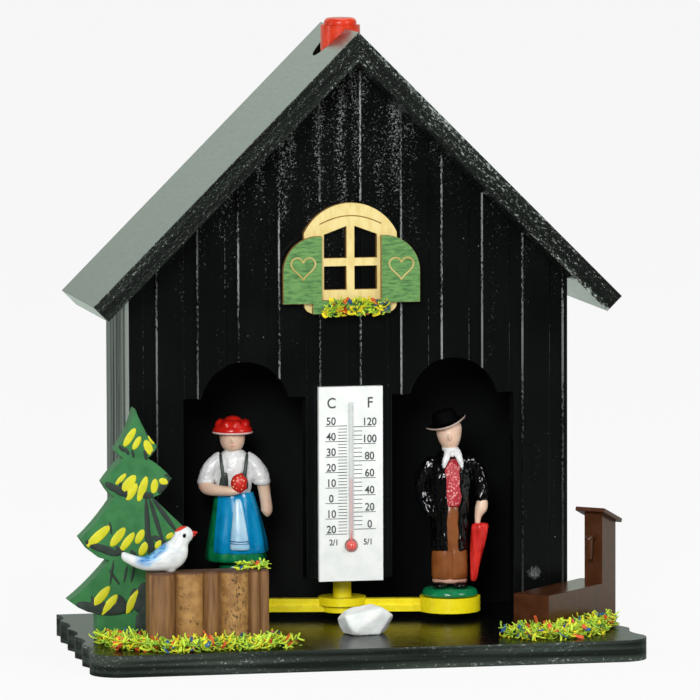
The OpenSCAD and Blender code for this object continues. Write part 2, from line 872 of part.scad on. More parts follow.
module post_cap() {
    over = 1.9;
    front_over = 2.6;
    back_over = 0.4;
    cap_t = 1.2;
    color(trough_brown)
        at_trough()
            translate([trough_l - post_l, 0, trough_h + post_h])
                rotate([0, post_cap_slope, 0])
                    translate([-front_over, -over, 0])
                        cube([post_l/cos(post_cap_slope) + front_over + back_over, post_w + 2*over, cap_t]);
}

// The low bed of flock at the left, around the tree's foot and the palisade
module grass_left() {
    front = 1.5 - base_d/2;
    left = -base_left - base_half(0) + 4;
    right = log_total/2 - log_side + 8;
    color(moss)
        translate([0, 0, base_t])
            linear_extrude(grass_h)
                difference() {
                    polygon([[left, tree_y - tree_t], [left + 6, front + 9], [left + 24, front], [right - 12, front + 1],
                        [right, log_y - log_d - 3], [right - 8, log_y - log_d*0.4], [-log_side, log_y + 3],
                        [-tree_side + trunk_w/2 + 3, tree_y - tree_t/2 - 1.5], [-tree_side - trunk_w/2, tree_y - tree_t/2 - 1.5]]);
                    translate([-log_side - log_total/2 - seat_gap, log_y - log_d - 2])
                        square([log_total + 2*seat_gap, log_d + 2 + seat_gap]);
                }
}

// The bed of flock at the right, along the trough's foot
module grass_right() {
    front = 1.5 - base_d/2;
    right = base_half(0) - base_left - 3;
    near_end = trough_x - trough_w*sin(trough_turn);
    color(moss)
        difference() {
            translate([0, 0, base_t])
                linear_extrude(grass_h)
                    polygon([[near_end - 5, trough_y - 6], [near_end + 2, front + 1], [trough_x + 8, front],
                        [right - 10, front + 10], [right, trough_y + 3], [right - 0.6, wall_y - 12],
                        [trough_x + trough_w, trough_y + trough_w]]);
            at_trough()
                translate([-seat_gap, -seat_gap, -cut])
                    cube([trough_l + 2*seat_gap, trough_w + 2*seat_gap, trough_h]);
        }
}

base_board();
front_wall();
left_side_wall();
right_side_wall();
back_panel();
left_roof_panel();
right_roof_panel();
ridge_block();
base_screws();
back_nails();
chimney_knob();
chimney_cap();
gut_string();
swing_beam();
woman_figure();
man_figure();
thermometer_card();
thermometer_tube();
thermometer_liquid();
window_frame();
shutter_plate();
window_flowers();
fir_tree();
log_palisade();
log_grass();
bird();
pebble();
water_trough();
post_cap();
grass_left();
grass_right();
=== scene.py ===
import math
import random

import bmesh
import bpy
from mathutils import Euler, Matrix, Vector, noise


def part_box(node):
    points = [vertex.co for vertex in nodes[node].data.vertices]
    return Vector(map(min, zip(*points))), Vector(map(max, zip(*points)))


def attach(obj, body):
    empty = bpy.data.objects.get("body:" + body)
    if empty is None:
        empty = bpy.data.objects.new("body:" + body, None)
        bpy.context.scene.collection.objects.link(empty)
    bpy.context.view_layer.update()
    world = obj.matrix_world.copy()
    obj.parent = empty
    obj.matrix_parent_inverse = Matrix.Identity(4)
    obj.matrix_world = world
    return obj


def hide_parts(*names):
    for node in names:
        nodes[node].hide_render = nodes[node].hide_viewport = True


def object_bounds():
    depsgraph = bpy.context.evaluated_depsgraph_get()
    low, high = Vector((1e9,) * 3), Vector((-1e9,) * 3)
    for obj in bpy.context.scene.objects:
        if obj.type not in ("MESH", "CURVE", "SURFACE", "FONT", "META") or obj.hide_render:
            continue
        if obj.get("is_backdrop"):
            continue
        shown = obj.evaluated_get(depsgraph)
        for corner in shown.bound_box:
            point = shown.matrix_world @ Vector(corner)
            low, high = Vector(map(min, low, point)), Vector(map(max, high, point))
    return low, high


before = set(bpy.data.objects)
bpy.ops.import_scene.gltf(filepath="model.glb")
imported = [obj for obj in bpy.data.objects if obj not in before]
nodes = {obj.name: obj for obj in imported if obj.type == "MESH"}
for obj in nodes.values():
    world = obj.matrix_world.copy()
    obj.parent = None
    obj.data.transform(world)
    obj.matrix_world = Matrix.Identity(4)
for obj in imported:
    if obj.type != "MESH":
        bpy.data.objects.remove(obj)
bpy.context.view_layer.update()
mm = 0.001

# The photographer's table: a long lens a little left of the middle and above the roof's eaves,
# softboxes in front, at the right and above, a strip light at the left and a pale sweep all round.
lens = bpy.data.cameras.new("photo_lens")
lens.sensor_width = 36.0
lens.lens = 387.6
lens.clip_end = 20.0
camera = bpy.data.objects.new("photo_camera", lens)
bpy.context.scene.collection.objects.link(camera)
camera.location = (-0.4552, -2.2455, 0.3165)
pan, tip, roll = math.radians(-11.43), math.radians(90 - 5.6), math.radians(-0.19)
camera.rotation_euler = (
    Matrix.Rotation(pan, 3, "Z") @ Matrix.Rotation(tip, 3, "X") @ Matrix.Rotation(roll, 3, "Z")
).to_euler()
bpy.context.scene.camera = camera
bpy.context.scene.view_settings.view_transform = "Standard"


def linear(hex_colour):
    """An sRGB hex value as linear red, green, blue and alpha."""
    channels = [int(hex_colour[i : i + 2], 16) / 255 for i in (1, 3, 5)]
    return [c / 12.92 if c <= 0.04045 else ((c + 0.055) / 1.055) ** 2.4 for c in channels] + [1.0]


def wire(tree, node, values):
    """Types values into a node or links them, by socket name or in the order of the sockets in use.

    A node given as a value stands for its first output in use.
    """
    used = [socket for socket in node.inputs if socket.enabled]
    for key, value in values.items() if isinstance(values, dict) else enumerate(values):
        socket = used[key] if isinstance(key, int) else next(s for s in used if s.name == key)
        if isinstance(value, bpy.types.Node):
            value = next(end for end in value.outputs if end.enabled)
        if isinstance(value, bpy.types.NodeSocket):
            tree.links.new(value, socket)
        else:
            socket.default_value = value


def add(tree, kind, values=(), stops=(), **settings):
    """Adds one shader node: settings are its own options, values are wired in, stops colour a ramp."""
    made = tree.nodes.new("ShaderNode" + kind)
    for option, value in settings.items():
        setattr(made, option, value)
    wire(tree, made, values)
    if stops:
        ramp = made.color_ramp
        while len(ramp.elements) < len(stops):
            ramp.elements.new(0.5)
        for element, (place, colour) in zip(ramp.elements, stops):
            element.position = place
            element.color = linear(colour)
    return made


# In mirrors the room is dark in front and pale behind, above a low band of shade.
world = bpy.data.worlds.new("pale_room")
bpy.context.scene.world = world
world.use_nodes = True
tree = world.node_tree
tree.nodes.clear()
ray = add(tree, "LightPath").outputs
room = add(tree, "SeparateXYZ", (add(tree, "TexCoord").outputs["Generated"],)).outputs
behind = add(tree, "MapRange", {
    "Value": room["Y"], "From Min": 0.05, "From Max": 0.75, "To Min": 0.012, "To Max": 1.1,
})
above = add(tree, "MapRange", {
    "Value": room["Z"], "From Min": 0.12, "From Max": 0.185, "To Min": 0.24, "To Max": 1.0,
})
behind = add(tree, "Math", (behind, above), operation="MULTIPLY")
mirrored = add(tree, "Math", (ray["Is Glossy Ray"], ray["Is Transmission Ray"]), operation="MAXIMUM")
soft = add(tree, "Mix", (mirrored, 0.4, behind), data_type="FLOAT")
level = add(tree, "Mix", (ray["Is Camera Ray"], soft, 1.0), data_type="FLOAT")
plain_tint, mirror_tint = (1.0, 1.0, 1.0, 1.0), (0.86, 1.0, 0.89, 1.0)
tint = add(tree, "Mix", (ray["Is Glossy Ray"], plain_tint, mirror_tint), data_type="RGBA")
add(tree, "OutputWorld", {"Surface": add(tree, "Background", {"Color": tint, "Strength": level})})

for name, place, target, size, watts in (
    ("front_softbox", (-0.6, -1.6, 0.72), (0, 0, 0.08), (0.5, 0.5), 20.0),
    ("right_softbox", (0.95, -1.05, 0.7), (0, 0, 0.08), (0.4, 0.4), 6.0),
    ("left_strip", (-0.95, -0.1, 0.3), (0, 0, 0.1), (0.12, 0.6), 1.2),
    ("top_softbox", (0.1, 0.1, 1.1), (0, 0, 0.1), (0.7, 0.5), 3.0),
):
    lamp = bpy.data.lights.new(name, "AREA")
    lamp.shape = "RECTANGLE"
    lamp.size, lamp.size_y = size
    lamp.energy = watts
    stand = bpy.data.objects.new(name, lamp)
    bpy.context.scene.collection.objects.link(stand)
    stand.location = place
    stand.rotation_euler = (Vector(target) - Vector(place)).to_track_quat("-Z", "Y").to_euler()

# The sweep is matt paper that takes the shadow. In mirrors it is pale behind the house and beside it.
bpy.ops.object.select_all(action="DESELECT")
bpy.ops.mesh.primitive_plane_add(size=9.0)
floor = bpy.context.object
floor.name = "pale_floor"
paper = bpy.data.materials.new("pale_paper_sweep")
paper.use_nodes = True
tree = paper.node_tree
tree.nodes.clear()
ray = add(tree, "LightPath").outputs
seen = add(tree, "Math", (ray["Is Camera Ray"], ray["Is Transmission Ray"]), operation="MAXIMUM")
shown = add(tree, "Math", (seen, ray["Is Glossy Ray"]), operation="MAXIMUM")
share = add(tree, "Math", (shown, 0.9), operation="MULTIPLY")
far = add(tree, "SeparateXYZ", (add(tree, "TexCoord").outputs["Object"],)).outputs
rear = add(tree, "MapRange", {
    "Value": far["Y"], "From Min": 0.0, "From Max": 0.5, "To Min": 0.012, "To Max": 1.0,
})
right = add(tree, "MapRange", {"Value": far["X"], "From Min": 0.05, "From Max": 0.2})
beside = add(tree, "MapRange", {"Value": far["Y"], "From Min": -0.4, "From Max": -0.1})
right = add(tree, "Math", (right, beside), operation="MULTIPLY")
left = add(tree, "MapRange", {"Value": far["X"], "From Min": -0.075, "From Max": -0.1, "To Max": 0.3})
along = add(tree, "MapRange", {"Value": far["Y"], "From Min": -0.09, "From Max": -0.04})
left = add(tree, "Math", (left, along), operation="MULTIPLY")
paleness = seen
for side in (rear, right, left):
    paleness = add(tree, "Math", (paleness, side), operation="MAXIMUM")
lit = add(tree, "BsdfDiffuse", {"Color": linear("#CFCFCD")})
tint = add(tree, "Mix", (ray["Is Glossy Ray"], plain_tint, mirror_tint), data_type="RGBA")
white = add(tree, "Emission", {"Color": tint, "Strength": paleness})
add(tree, "OutputMaterial", {"Surface": add(tree, "MixShader", (share, lit, white))})
floor.data.materials.append(paper)
floor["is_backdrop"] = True

# The house is sawn from plywood and brushed with glossy black lacquer. The lacquer follows the
# grain, thins out at the sawn edges and has scattered pale specks in it; pale chips on the sawn
# edges are painted glints.


def new_finish(name):
    """A new material by name, with its node tree and its shader."""
    made = bpy.data.materials.new(name)
    made.use_nodes = True
    return made, made.node_tree, made.node_tree.nodes["Principled BSDF"]


def grain_of(size):
    """A pattern's scale from the real size in mm of one of its grains."""
    return 1 / (size * mm)


def lacquer(
    name, grain, roughness, streak, sawn=None, lean=0.0, index=1.47, furrow=0.0, mirror=0.5, glint_start=0.9,
    tones=("#050606", "#0C0E0E"), edge_tones=("#0B0E0C", "#262C28", "#8B938D"),
):
    """Black gloss lacquer on plywood.

    grain is its stretch along each axis and streak its height; sawn is the axis that tells cut edges
    from faces and lean the panel's tilt; index and mirror are the faces' shine; furrow is the depth of
    saw furrows; glint_start is where the edges' painted glints begin; tones and edge_tones colour the
    faces and the edges, the third edge tone being the painted glints' colour.
    """
    made, tree, gloss = new_finish(name)
    wire(tree, gloss, {"IOR": index, "Specular IOR Level": mirror, "Specular Tint": (0.91, 1.0, 0.93, 1.0)})
    place = add(tree, "TexCoord").outputs["Object"]
    # Wood fibre and brush marks are too fine to show, so they are drawn coarser, over half a mm wide.
    along = add(tree, "Mapping", {"Vector": place, "Scale": grain})
    fibre = add(tree, "TexNoise", {
        "Vector": along, "Scale": grain_of(0.667), "Detail": 4.0, "Roughness": 0.6,
    })
    peel = add(tree, "TexNoise", {"Vector": place, "Scale": grain_of(0.588), "Detail": 3.0, "Roughness": 0.7})
    cloud = add(tree, "TexNoise", {"Vector": place, "Scale": grain_of(22.2), "Detail": 3.0})
    # Scattered pale specks sit at the centres of these cells, in some patches only.
    speck_cells = add(tree, "TexVoronoi", {"Vector": place, "Scale": grain_of(2.38), "Randomness": 1.0})
    drift = add(tree, "TexNoise", {"Vector": place, "Scale": grain_of(14.3), "Detail": 2.0})
    few = add(tree, "Math", (drift, 0.66), operation="GREATER_THAN")
    speck = add(tree, "Math", (speck_cells, 0.075), operation="LESS_THAN")
    speck = add(tree, "Math", (speck, few), operation="MULTIPLY")
    black = add(tree, "ValToRGB", (cloud,), [(0.3, tones[0]), (0.75, tones[1])])
    colour = add(tree, "Mix", (speck, black, linear("#7F8480")), data_type="RGBA")
    height = add(tree, "Math", (fibre, streak), operation="MULTIPLY")
    height = add(tree, "Math", (peel, streak * 0.6, height), operation="MULTIPLY_ADD")
    dull = add(tree, "MapRange", {"Value": fibre, "To Min": roughness - 0.05, "To Max": roughness + 0.07})
    if sawn:
        turned = add(tree, "Mapping", {"Vector": place, "Rotation": (0.0, lean, 0.0)})
        layered = add(tree, "Mapping", {"Vector": turned, "Scale": (0.45, 0.45, 1.0)})
        torn = add(tree, "TexNoise", {
            "Vector": layered, "Scale": grain_of(0.526), "Detail": 3.0, "Roughness": 0.8,
        })
        relief = add(tree, "TexNoise", {
            "Vector": layered, "Scale": grain_of(0.667), "Detail": 2.0, "Roughness": 0.6,
        })
        plies = add(tree, "Mapping", {"Vector": turned, "Scale": (0.03, 0.03, 1.0)})
        veneer = add(tree, "TexNoise", {"Vector": plies, "Scale": grain_of(1.92), "Detail": 1.0})
        patch = add(tree, "TexNoise", {"Vector": place, "Scale": grain_of(16.7), "Detail": 2.0})
        facing = add(tree, "SeparateXYZ", (add(tree, "NewGeometry").outputs["True Normal"],))
        level = add(tree, "Math", (facing.outputs[sawn],), operation="ABSOLUTE")
        if sawn == "Y":
            edge = add(tree, "Math", (level, 0.7), operation="GREATER_THAN")
        else:
            edge = add(tree, "Math", (level, 0.3), operation="LESS_THAN")
        ridge = add(tree, "Math", (veneer, 0.35, torn), operation="MULTIPLY_ADD")
        ridge = add(tree, "Math", (patch, 0.2, ridge), operation="MULTIPLY_ADD")
        # Pale chips on the sawn edges are painted glints.
        edge_glint = add(tree, "MapRange", {"Value": ridge, "From Min": glint_start, "From Max": glint_start + 0.12})
        ply_tone_and_glint = add(tree, "ValToRGB", (veneer,), [(0.38, edge_tones[0]), (0.62, edge_tones[1])])
        ply_tone_and_glint = add(tree, "Mix", (edge_glint, ply_tone_and_glint, linear(edge_tones[2])), data_type="RGBA")
        colour = add(tree, "Mix", (edge, colour, ply_tone_and_glint), data_type="RGBA")
        rough = add(tree, "Math", (relief, edge), operation="MULTIPLY")
        height = add(tree, "Math", (rough, 3.0, height), operation="MULTIPLY_ADD")
        dull = add(tree, "Math", (edge, 0.05, dull), operation="MULTIPLY_ADD")
        shine = add(tree, "Math", (edge, 0.3 - mirror, mirror), operation="MULTIPLY_ADD")
        wire(tree, gloss, {"Specular IOR Level": shine})
    if furrow:
        rows = add(tree, "Mapping", {"Vector": place, "Scale": (0.2, 1.0, 0.015)})
        rows = add(tree, "TexNoise", {
            "Vector": rows, "Scale": grain_of(3.85), "Detail": 4.0, "Roughness": 0.7,
        })
        crest = add(tree, "MapRange", {
            "Value": rows, "From Min": 0.45, "From Max": 0.55, "To Min": 0.5 - furrow, "To Max": 0.5 + furrow,
        })
        wire(tree, gloss, {"Specular IOR Level": crest})
    round_edge = add(tree, "Bevel", {"Radius": 0.35 * mm}, samples=6)
    bump = add(tree, "Bump", {"Strength": 0.5, "Distance": 0.12 * mm, "Height": height, "Normal": round_edge})
    wire(tree, gloss, {"Base Color": colour, "Roughness": dull, "Normal": bump})
    return made


def dress(node_name, material):
    """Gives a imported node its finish."""
    nodes[node_name].data.materials.clear()
    nodes[node_name].data.materials.append(material)


pitch = math.radians(45)
# The third edge tone is the colour of the painted glints on the sawn edges.
roof = {
    "grain": (0.8, 0.08, 0.8), "roughness": 0.2, "streak": 0.05, "sawn": "Y", "index": 1.76,
    "tones": ("#171B18", "#202521"), "edge_tones": ("#0A0D0B", "#1A201C", "#A3ABA5"),
}
dress("left_roof_panel", lacquer("black_lacquer_left_roof", lean=pitch, **roof))
dress("right_roof_panel", lacquer("black_lacquer_right_roof", lean=-pitch, glint_start=0.84, **roof))
board_edge = ("#1A1F1B", "#3B433D", "#A3ABA5")
dress("base_board", lacquer(
    "black_lacquer_board", (0.1, 1.0, 1.0), 0.25, 0.06, "Z", index=1.28, mirror=0.3, edge_tones=board_edge))
side_lacquer = lacquer("black_lacquer_sides", (1.0, 0.7, 0.03), 0.42, 2.2, index=1.6, furrow=0.48)
dress("left_side_wall", side_lacquer)
dress("right_side_wall", side_lacquer)
dress("back_panel", lacquer("black_lacquer_back", (1.0, 1.0, 0.05), 0.35, 0.2, mirror=0.25))

# The front wall has planks sawn into it. The brush left little lacquer on the planks' left
# arrises, and a painted highlight runs along them, so a broken pale line runs down each one and
# fades towards the foot of the wall; painted glints speckle the gable.
wall_lacquer = lacquer("black_lacquer_planks", (1.0, 1.0, 0.05), 0.2, 0.9, mirror=0.36)
tree = wall_lacquer.node_tree
gloss = tree.nodes["Principled BSDF"]
lacquered = gloss.inputs["Base Color"].links[0].from_socket
place = add(tree, "TexCoord").outputs["Object"]
spot = add(tree, "SeparateXYZ", (place,)).outputs
upright = add(tree, "Mapping", {"Vector": place, "Scale": (1.0, 1.0, 0.6)})
broken = add(tree, "TexNoise", {"Vector": upright, "Scale": grain_of(0.588), "Detail": 3.0})
patchy = add(tree, "TexNoise", {"Vector": place, "Scale": grain_of(35.7), "Detail": 1.0})
dash = add(tree, "Math", (broken, patchy), operation="ADD")
by_plank = add(tree, "Mapping", {"Vector": place, "Scale": (1.0, 0.0, 0.06)})
each = add(tree, "TexNoise", {"Vector": by_plank, "Scale": grain_of(11.1), "Detail": 1.0})
each = add(tree, "MapRange", {
    "Value": each, "From Min": 0.36, "From Max": 0.6, "To Min": 0.45, "To Max": 1.0,
})
# The painted highlight lines fade towards the foot of the wall.
upper = add(tree, "MapRange", {
    "Value": spot["Z"], "From Min": 40 * mm, "From Max": 105 * mm, "To Min": 0.12, "To Max": 1.0,
})
half_plank = 6.35 * mm
# bare gathers the pale marks: the worn lines with their painted highlight, the painted glints and the scuff.
bare = 0.0
# Each line is worn lacquer with a painted highlight along it.
for start, least, most, strength in ((3.7, 0.88, 1.04, 1.0), (-0.4, 1.06, 1.18, 0.7)):
    plank = add(tree, "Math", (spot["X"], start * mm), operation="SUBTRACT")
    plank = add(tree, "Math", (plank, half_plank, -half_plank), operation="WRAP")
    away = add(tree, "Math", (plank,), operation="ABSOLUTE")
    line = add(tree, "MapRange", {
        "Value": away, "From Min": 0.04 * mm, "From Max": 0.19 * mm, "To Min": strength, "To Max": 0.0,
    })
    rubbed = add(tree, "MapRange", {"Value": dash, "From Min": least, "From Max": most})
    rubbed = add(tree, "Math", (rubbed, line), operation="MULTIPLY")
    bare = add(tree, "Math", (rubbed, bare), operation="MAXIMUM")

# No line shows behind the window.
window_middle, window_half_wide, window_half_tall = 120 * mm, 14.4 * mm, 16.8 * mm
aside = add(tree, "Math", (spot["X"],), operation="ABSOLUTE")
aside = add(tree, "Math", (aside, window_half_wide), operation="GREATER_THAN")
over = add(tree, "Math", (spot["Z"], window_middle), operation="SUBTRACT")
over = add(tree, "Math", (over,), operation="ABSOLUTE")
over = add(tree, "Math", (over, window_half_tall), operation="GREATER_THAN")
open_wall = add(tree, "Math", (aside, over), operation="MAXIMUM")
for part in (each, upper, open_wall):
    bare = add(tree, "Math", (bare, part), operation="MULTIPLY")

# Painted glints in the gable, thicker towards the top.
peel = add(tree, "TexNoise", {"Vector": place, "Scale": grain_of(0.556), "Detail": 2.0, "Roughness": 0.9})
brushed = add(tree, "Mapping", {"Vector": place, "Scale": (1.5, 1.0, 0.16)})
drift = add(tree, "TexNoise", {"Vector": brushed, "Scale": grain_of(6.25), "Detail": 2.0})
gable = add(tree, "MapRange", {
    "Value": spot["Z"], "From Min": 95 * mm, "From Max": 165 * mm, "To Min": 0.99, "To Max": 0.8,
})
glint = add(tree, "Math", (drift, 0.45, peel), operation="MULTIPLY_ADD")
glint = add(tree, "Math", (glint, gable), operation="SUBTRACT")
glint = add(tree, "MapRange", {"Value": glint, "From Min": 0.0, "From Max": 0.09, "To Max": 0.34})

# One pale scuff lies low at the right.
scuff_x, scuff_z, scuff_reach = 58 * mm, 20.8 * mm, 12 * mm**2
dx = add(tree, "Math", (spot["X"], scuff_x), operation="SUBTRACT")
dz = add(tree, "Math", (spot["Z"], scuff_z), operation="SUBTRACT")
away = add(tree, "Math", (dx, dx), operation="MULTIPLY")
away = add(tree, "Math", (dz, dz, away), operation="MULTIPLY_ADD")
scuff = add(tree, "MapRange", {"Value": away, "From Max": scuff_reach, "To Min": 1.0, "To Max": 0.0})
scuff = add(tree, "Math", (scuff, broken), operation="MULTIPLY")
scuff = add(tree, "MapRange", {"Value": scuff, "From Min": 0.3, "From Max": 0.6, "To Max": 0.22})
for part in (glint, scuff):
    bare = add(tree, "Math", (bare, part), operation="MAXIMUM")
worn_and_glinting = add(tree, "Mix", (bare, lacquered, linear("#D6DCD8")), data_type="RGBA")
wire(tree, gloss, {"Base Color": worn_and_glinting})
dress("front_wall", wall_lacquer)

# The ridge block is a scrap of bare beech, glued under the ridge. The knob's spindle turns in it,
# so it is left unpainted.
beech, tree, shader = new_finish("bare_beech")
place = add(tree, "TexCoord").outputs["Object"]
along = add(tree, "Mapping", {"Vector": place, "Scale": (1.0, 0.08, 1.0)})
grain = add(tree, "TexNoise", {"Vector": along, "Scale": grain_of(1.43), "Detail": 4.0})
tone = add(tree, "ValToRGB", (grain,), [(0.35, "#B58E60"), (0.7, "#D8B98C")])
wire(tree, shader, {"Base Color": tone, "Roughness": 0.7})
dress("ridge_block", beech)

# Screws come up through the board and nails hold the back panel. Both are plain steel, dulled by
# handling.
steel, tree, shader = new_finish("dull_steel")
place = add(tree, "TexCoord").outputs["Object"]
smear = add(tree, "TexNoise", {"Vector": place, "Scale": grain_of(1.11), "Detail": 3.0})
tone = add(tree, "ValToRGB", (smear,), [(0.3, "#8C8C8A"), (0.7, "#B9B9B5")])
dull = add(tree, "MapRange", {"Value": smear, "To Min": 0.3, "To Max": 0.5})
wire(tree, shader, {"Base Color": tone, "Roughness": dull, "Metallic": 1.0})
dress("base_screws", steel)
dress("back_nails", steel)

# The chimney is a turned plug of red polystyrene with a cap pressed into it. It is the knob
# that the gut hangs from, so it sits loose in an oversize hole.


def moulded(
    name, colour, deep, roughness=0.3, grit=1.11, dent=0.04, glow_through=0.0, fleck=None, shine=0.5
):
    """Moulded and brush-painted plastic: paint pools darker here and there, ripples and may be flecked.

    grit is the ripples' size and dent their depth, in mm. Pale flecks of the fleck colour sit on the
    ripples' crests; they are painted glints.
    """
    made, tree, skin = new_finish(name)
    place = add(tree, "TexCoord").outputs["Object"]
    pool = add(tree, "TexNoise", {"Vector": place, "Scale": grain_of(3.85), "Detail": 3.0})
    paint = add(tree, "ValToRGB", (pool,), [(0.3, deep), (0.62, colour)])
    waves = add(tree, "TexNoise", {"Vector": place, "Scale": grain_of(grit), "Detail": 3.0})
    # Pale flecks on the ripples' crests are painted glints.
    if fleck:
        high = add(tree, "MapRange", {"Value": waves, "From Min": 0.54, "From Max": 0.64})
        paint = add(tree, "Mix", (high, paint, linear(fleck)), data_type="RGBA")
    sheen = add(tree, "MapRange", {"Value": pool, "To Min": roughness - 0.08, "To Max": roughness + 0.1})
    bevel = add(tree, "Bevel", {"Radius": 0.25 * mm}, samples=4)
    bump = add(tree, "Bump", {"Strength": 0.4, "Distance": dent * mm, "Height": waves, "Normal": bevel})
    wire(tree, skin, {
        "Base Color": paint, "Roughness": sheen, "Normal": bump, "IOR": 1.5, "Specular IOR Level": shine,
        "Subsurface Weight": glow_through, "Subsurface Radius": (0.0012, 0.0006, 0.0004),
    })
    return made


red_knob = moulded("red_polystyrene", "#DE3812", "#C42C0A", 0.28, glow_through=0.1)
dress("chimney_knob", red_knob)
dress("chimney_cap", red_knob)

# The beam is one moulding of yellow polystyrene: two discs for the figures, two railed arms and a
# hub with a stem that the gut is knotted into.
dress("swing_beam", moulded("yellow_polystyrene", "#FFF01E", "#FBE416", 0.27, dent=0.01))

# The gut is a thin twisted string, pale and waxy. Damp air untwists it a little and so turns the
# beam.
gut, tree, shader = new_finish("twisted_gut")
place = add(tree, "TexCoord").outputs["Object"]
twist_pitch, band_at_one = 0.524, 2 * math.pi / 20
bands = band_at_one * grain_of(twist_pitch)
twist = add(tree, "TexWave", {"Vector": place, "Scale": bands, "Distortion": 1.0}, bands_direction="Z")
tone = add(tree, "ValToRGB", (twist,), [(0.2, "#B9A578"), (0.8, "#E6D7AE")])
wire(tree, shader, {"Base Color": tone, "Roughness": 0.5})
dress("gut_string", gut)

# The woman is a painted polystyrene moulding on a green stand: red pompom hat, white blouse with
# dark braces, blue apron over a green skirt, a bunch of red flowers in one hand.


def finish_with(piece, kind, **settings):
    """Puts one modifier on a piece and applies it."""
    bpy.ops.object.select_all(action="DESELECT")
    piece.select_set(True)
    bpy.context.view_layer.objects.active = piece
    made = piece.modifiers.new(kind.lower(), kind)
    for option, value in settings.items():
        setattr(made, option, value)
    bpy.ops.object.modifier_apply(modifier=made.name)
    return piece


def loft(name, ovals, sides=40, smooth=1):
    """A circle drawn up through ovals of (height, half width, half depth, x, y) in mm, closed at its ends."""
    bpy.ops.object.select_all(action="DESELECT")
    bpy.ops.mesh.primitive_circle_add(vertices=sides, radius=1.0, fill_type="NGON")
    made = bpy.context.object
    made.name = name
    bpy.ops.object.mode_set(mode="EDIT")
    bpy.ops.mesh.select_all(action="SELECT")
    for step, oval in enumerate(ovals):
        z, wide, deep, x, y = (list(oval) + [0.0, 0.0])[:5]
        if step:
            bpy.ops.mesh.extrude_region()
        cage = bmesh.from_edit_mesh(made.data)
        for v in cage.verts:
            if v.select:
                side = v.co.xy
                if step:
                    side = Vector(((v.co.x / mm - was_x) / was_wide, (v.co.y / mm - was_y) / was_deep))
                v.co = Vector((x + side.x * wide, y + side.y * deep, z)) * mm
        bmesh.update_edit_mesh(made.data)
        was_x, was_y, was_wide, was_deep = x, y, wide, deep
    bpy.ops.mesh.select_all(action="SELECT")
    bpy.ops.mesh.normals_make_consistent(inside=False)
    bpy.ops.object.mode_set(mode="OBJECT")
    if smooth:
        finish_with(made, "SUBSURF", levels=smooth, render_levels=smooth)
    bpy.ops.object.shade_smooth()
    return made


def limb(name, stations, sides=10):
    """A soft tube through stations of (x, y, z, radius) in mm, closed at both ends."""
    bpy.ops.object.select_all(action="DESELECT")
    bpy.ops.curve.primitive_nurbs_path_add()
    made = bpy.context.object
    made.name = name
    made.data.splines.clear()
    spline = made.data.splines.new("NURBS")
    spline.points.add(len(stations) - 1)
    for point, (x, y, z, radius) in zip(spline.points, stations):
        point.co = (x * mm, y * mm, z * mm, 1.0)
        point.radius = radius
    spline.use_endpoint_u = True
    spline.order_u = min(4, len(stations))
    spline.resolution_u = 8
    made.data.bevel_depth = mm
    made.data.bevel_resolution = max(2, sides // 3)
    made.data.use_fill_caps = True
    bpy.ops.object.convert(target="MESH")
    made = bpy.context.object
    bpy.ops.object.mode_set(mode="EDIT")
    bpy.ops.mesh.select_all(action="SELECT")
    bpy.ops.mesh.remove_doubles(threshold=1e-6)
    bpy.ops.mesh.normals_make_consistent(inside=False)
    bpy.ops.object.mode_set(mode="OBJECT")
    bpy.ops.object.shade_smooth()
    return made


def ball(name, x, y, z, wide, deep, tall, rings=16):
    """A ball drawn out to half sizes wide, deep and tall, in mm."""
    bpy.ops.object.select_all(action="DESELECT")
    bpy.ops.mesh.primitive_uv_sphere_add(segments=rings * 2, ring_count=rings, radius=mm, location=(0, 0, 0))
    made = bpy.context.object
    made.name = name
    bpy.ops.object.mode_set(mode="EDIT")
    bpy.ops.mesh.select_all(action="SELECT")
    bpy.ops.transform.resize(value=(wide, deep, tall))
    bpy.ops.transform.translate(value=(x * mm, y * mm, z * mm))
    bpy.ops.object.mode_set(mode="OBJECT")
    bpy.ops.object.shade_smooth()
    return made


def join(name, parts):
    """Joins parts to one piece."""
    bpy.ops.object.select_all(action="DESELECT")
    for part in parts:
        part.select_set(True)
    bpy.context.view_layer.objects.active = parts[0]
    bpy.ops.object.join()
    parts[0].name = name
    return parts[0]


def fuse(name, parts, voxel, rounds=4):
    """Runs several shapes together into one moulded skin and softens the joins."""
    made = join(name, parts)
    finish_with(made, "REMESH", mode="VOXEL", voxel_size=voxel * mm, use_smooth_shade=True)
    finish_with(made, "SMOOTH", factor=0.5, iterations=rounds)
    bpy.ops.object.shade_smooth()
    return made


def ripple(piece, size, strength):
    """Small moulded folds: the skin is pushed in and out by a soft cloud pattern."""
    folds = bpy.data.textures.new(piece.name + "_folds", "CLOUDS")
    folds.noise_scale = size * mm
    finish_with(piece, "DISPLACE", texture=folds, strength=strength * mm, texture_coords="LOCAL")


def set_down(pieces, material, body, at=(0, 0, 0), turn=0.0):
    """Paints pieces, puts them in their place in their own mesh and lets them ride on a body."""
    for piece in pieces:
        piece.data.materials.clear()
        piece.data.materials.append(material)
        piece.data.transform(Matrix.Translation(Vector(at) * mm) @ Matrix.Rotation(turn, 4, "Z"))
        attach(piece, body)


swing = math.radians(-10.5)
axis_y, disc_reach, disc_top = 19.5, 33.3, 13.6
woman_at = (-disc_reach * math.cos(swing), axis_y - disc_reach * math.sin(swing), disc_top)
stand_ovals = [(0, 8.6, 8.6), (0.5, 8.7, 8.7), (1.6, 8.5, 8.5), (2.4, 7.9, 7.9), (2.7, 7.0, 7.0)]
both_sides = (("left", -1), ("right", 1))


def on_woman(pieces, paint):
    """Paints pieces of the woman and sets them down on the beam's left disc."""
    set_down(pieces, paint, "beam", woman_at, swing)


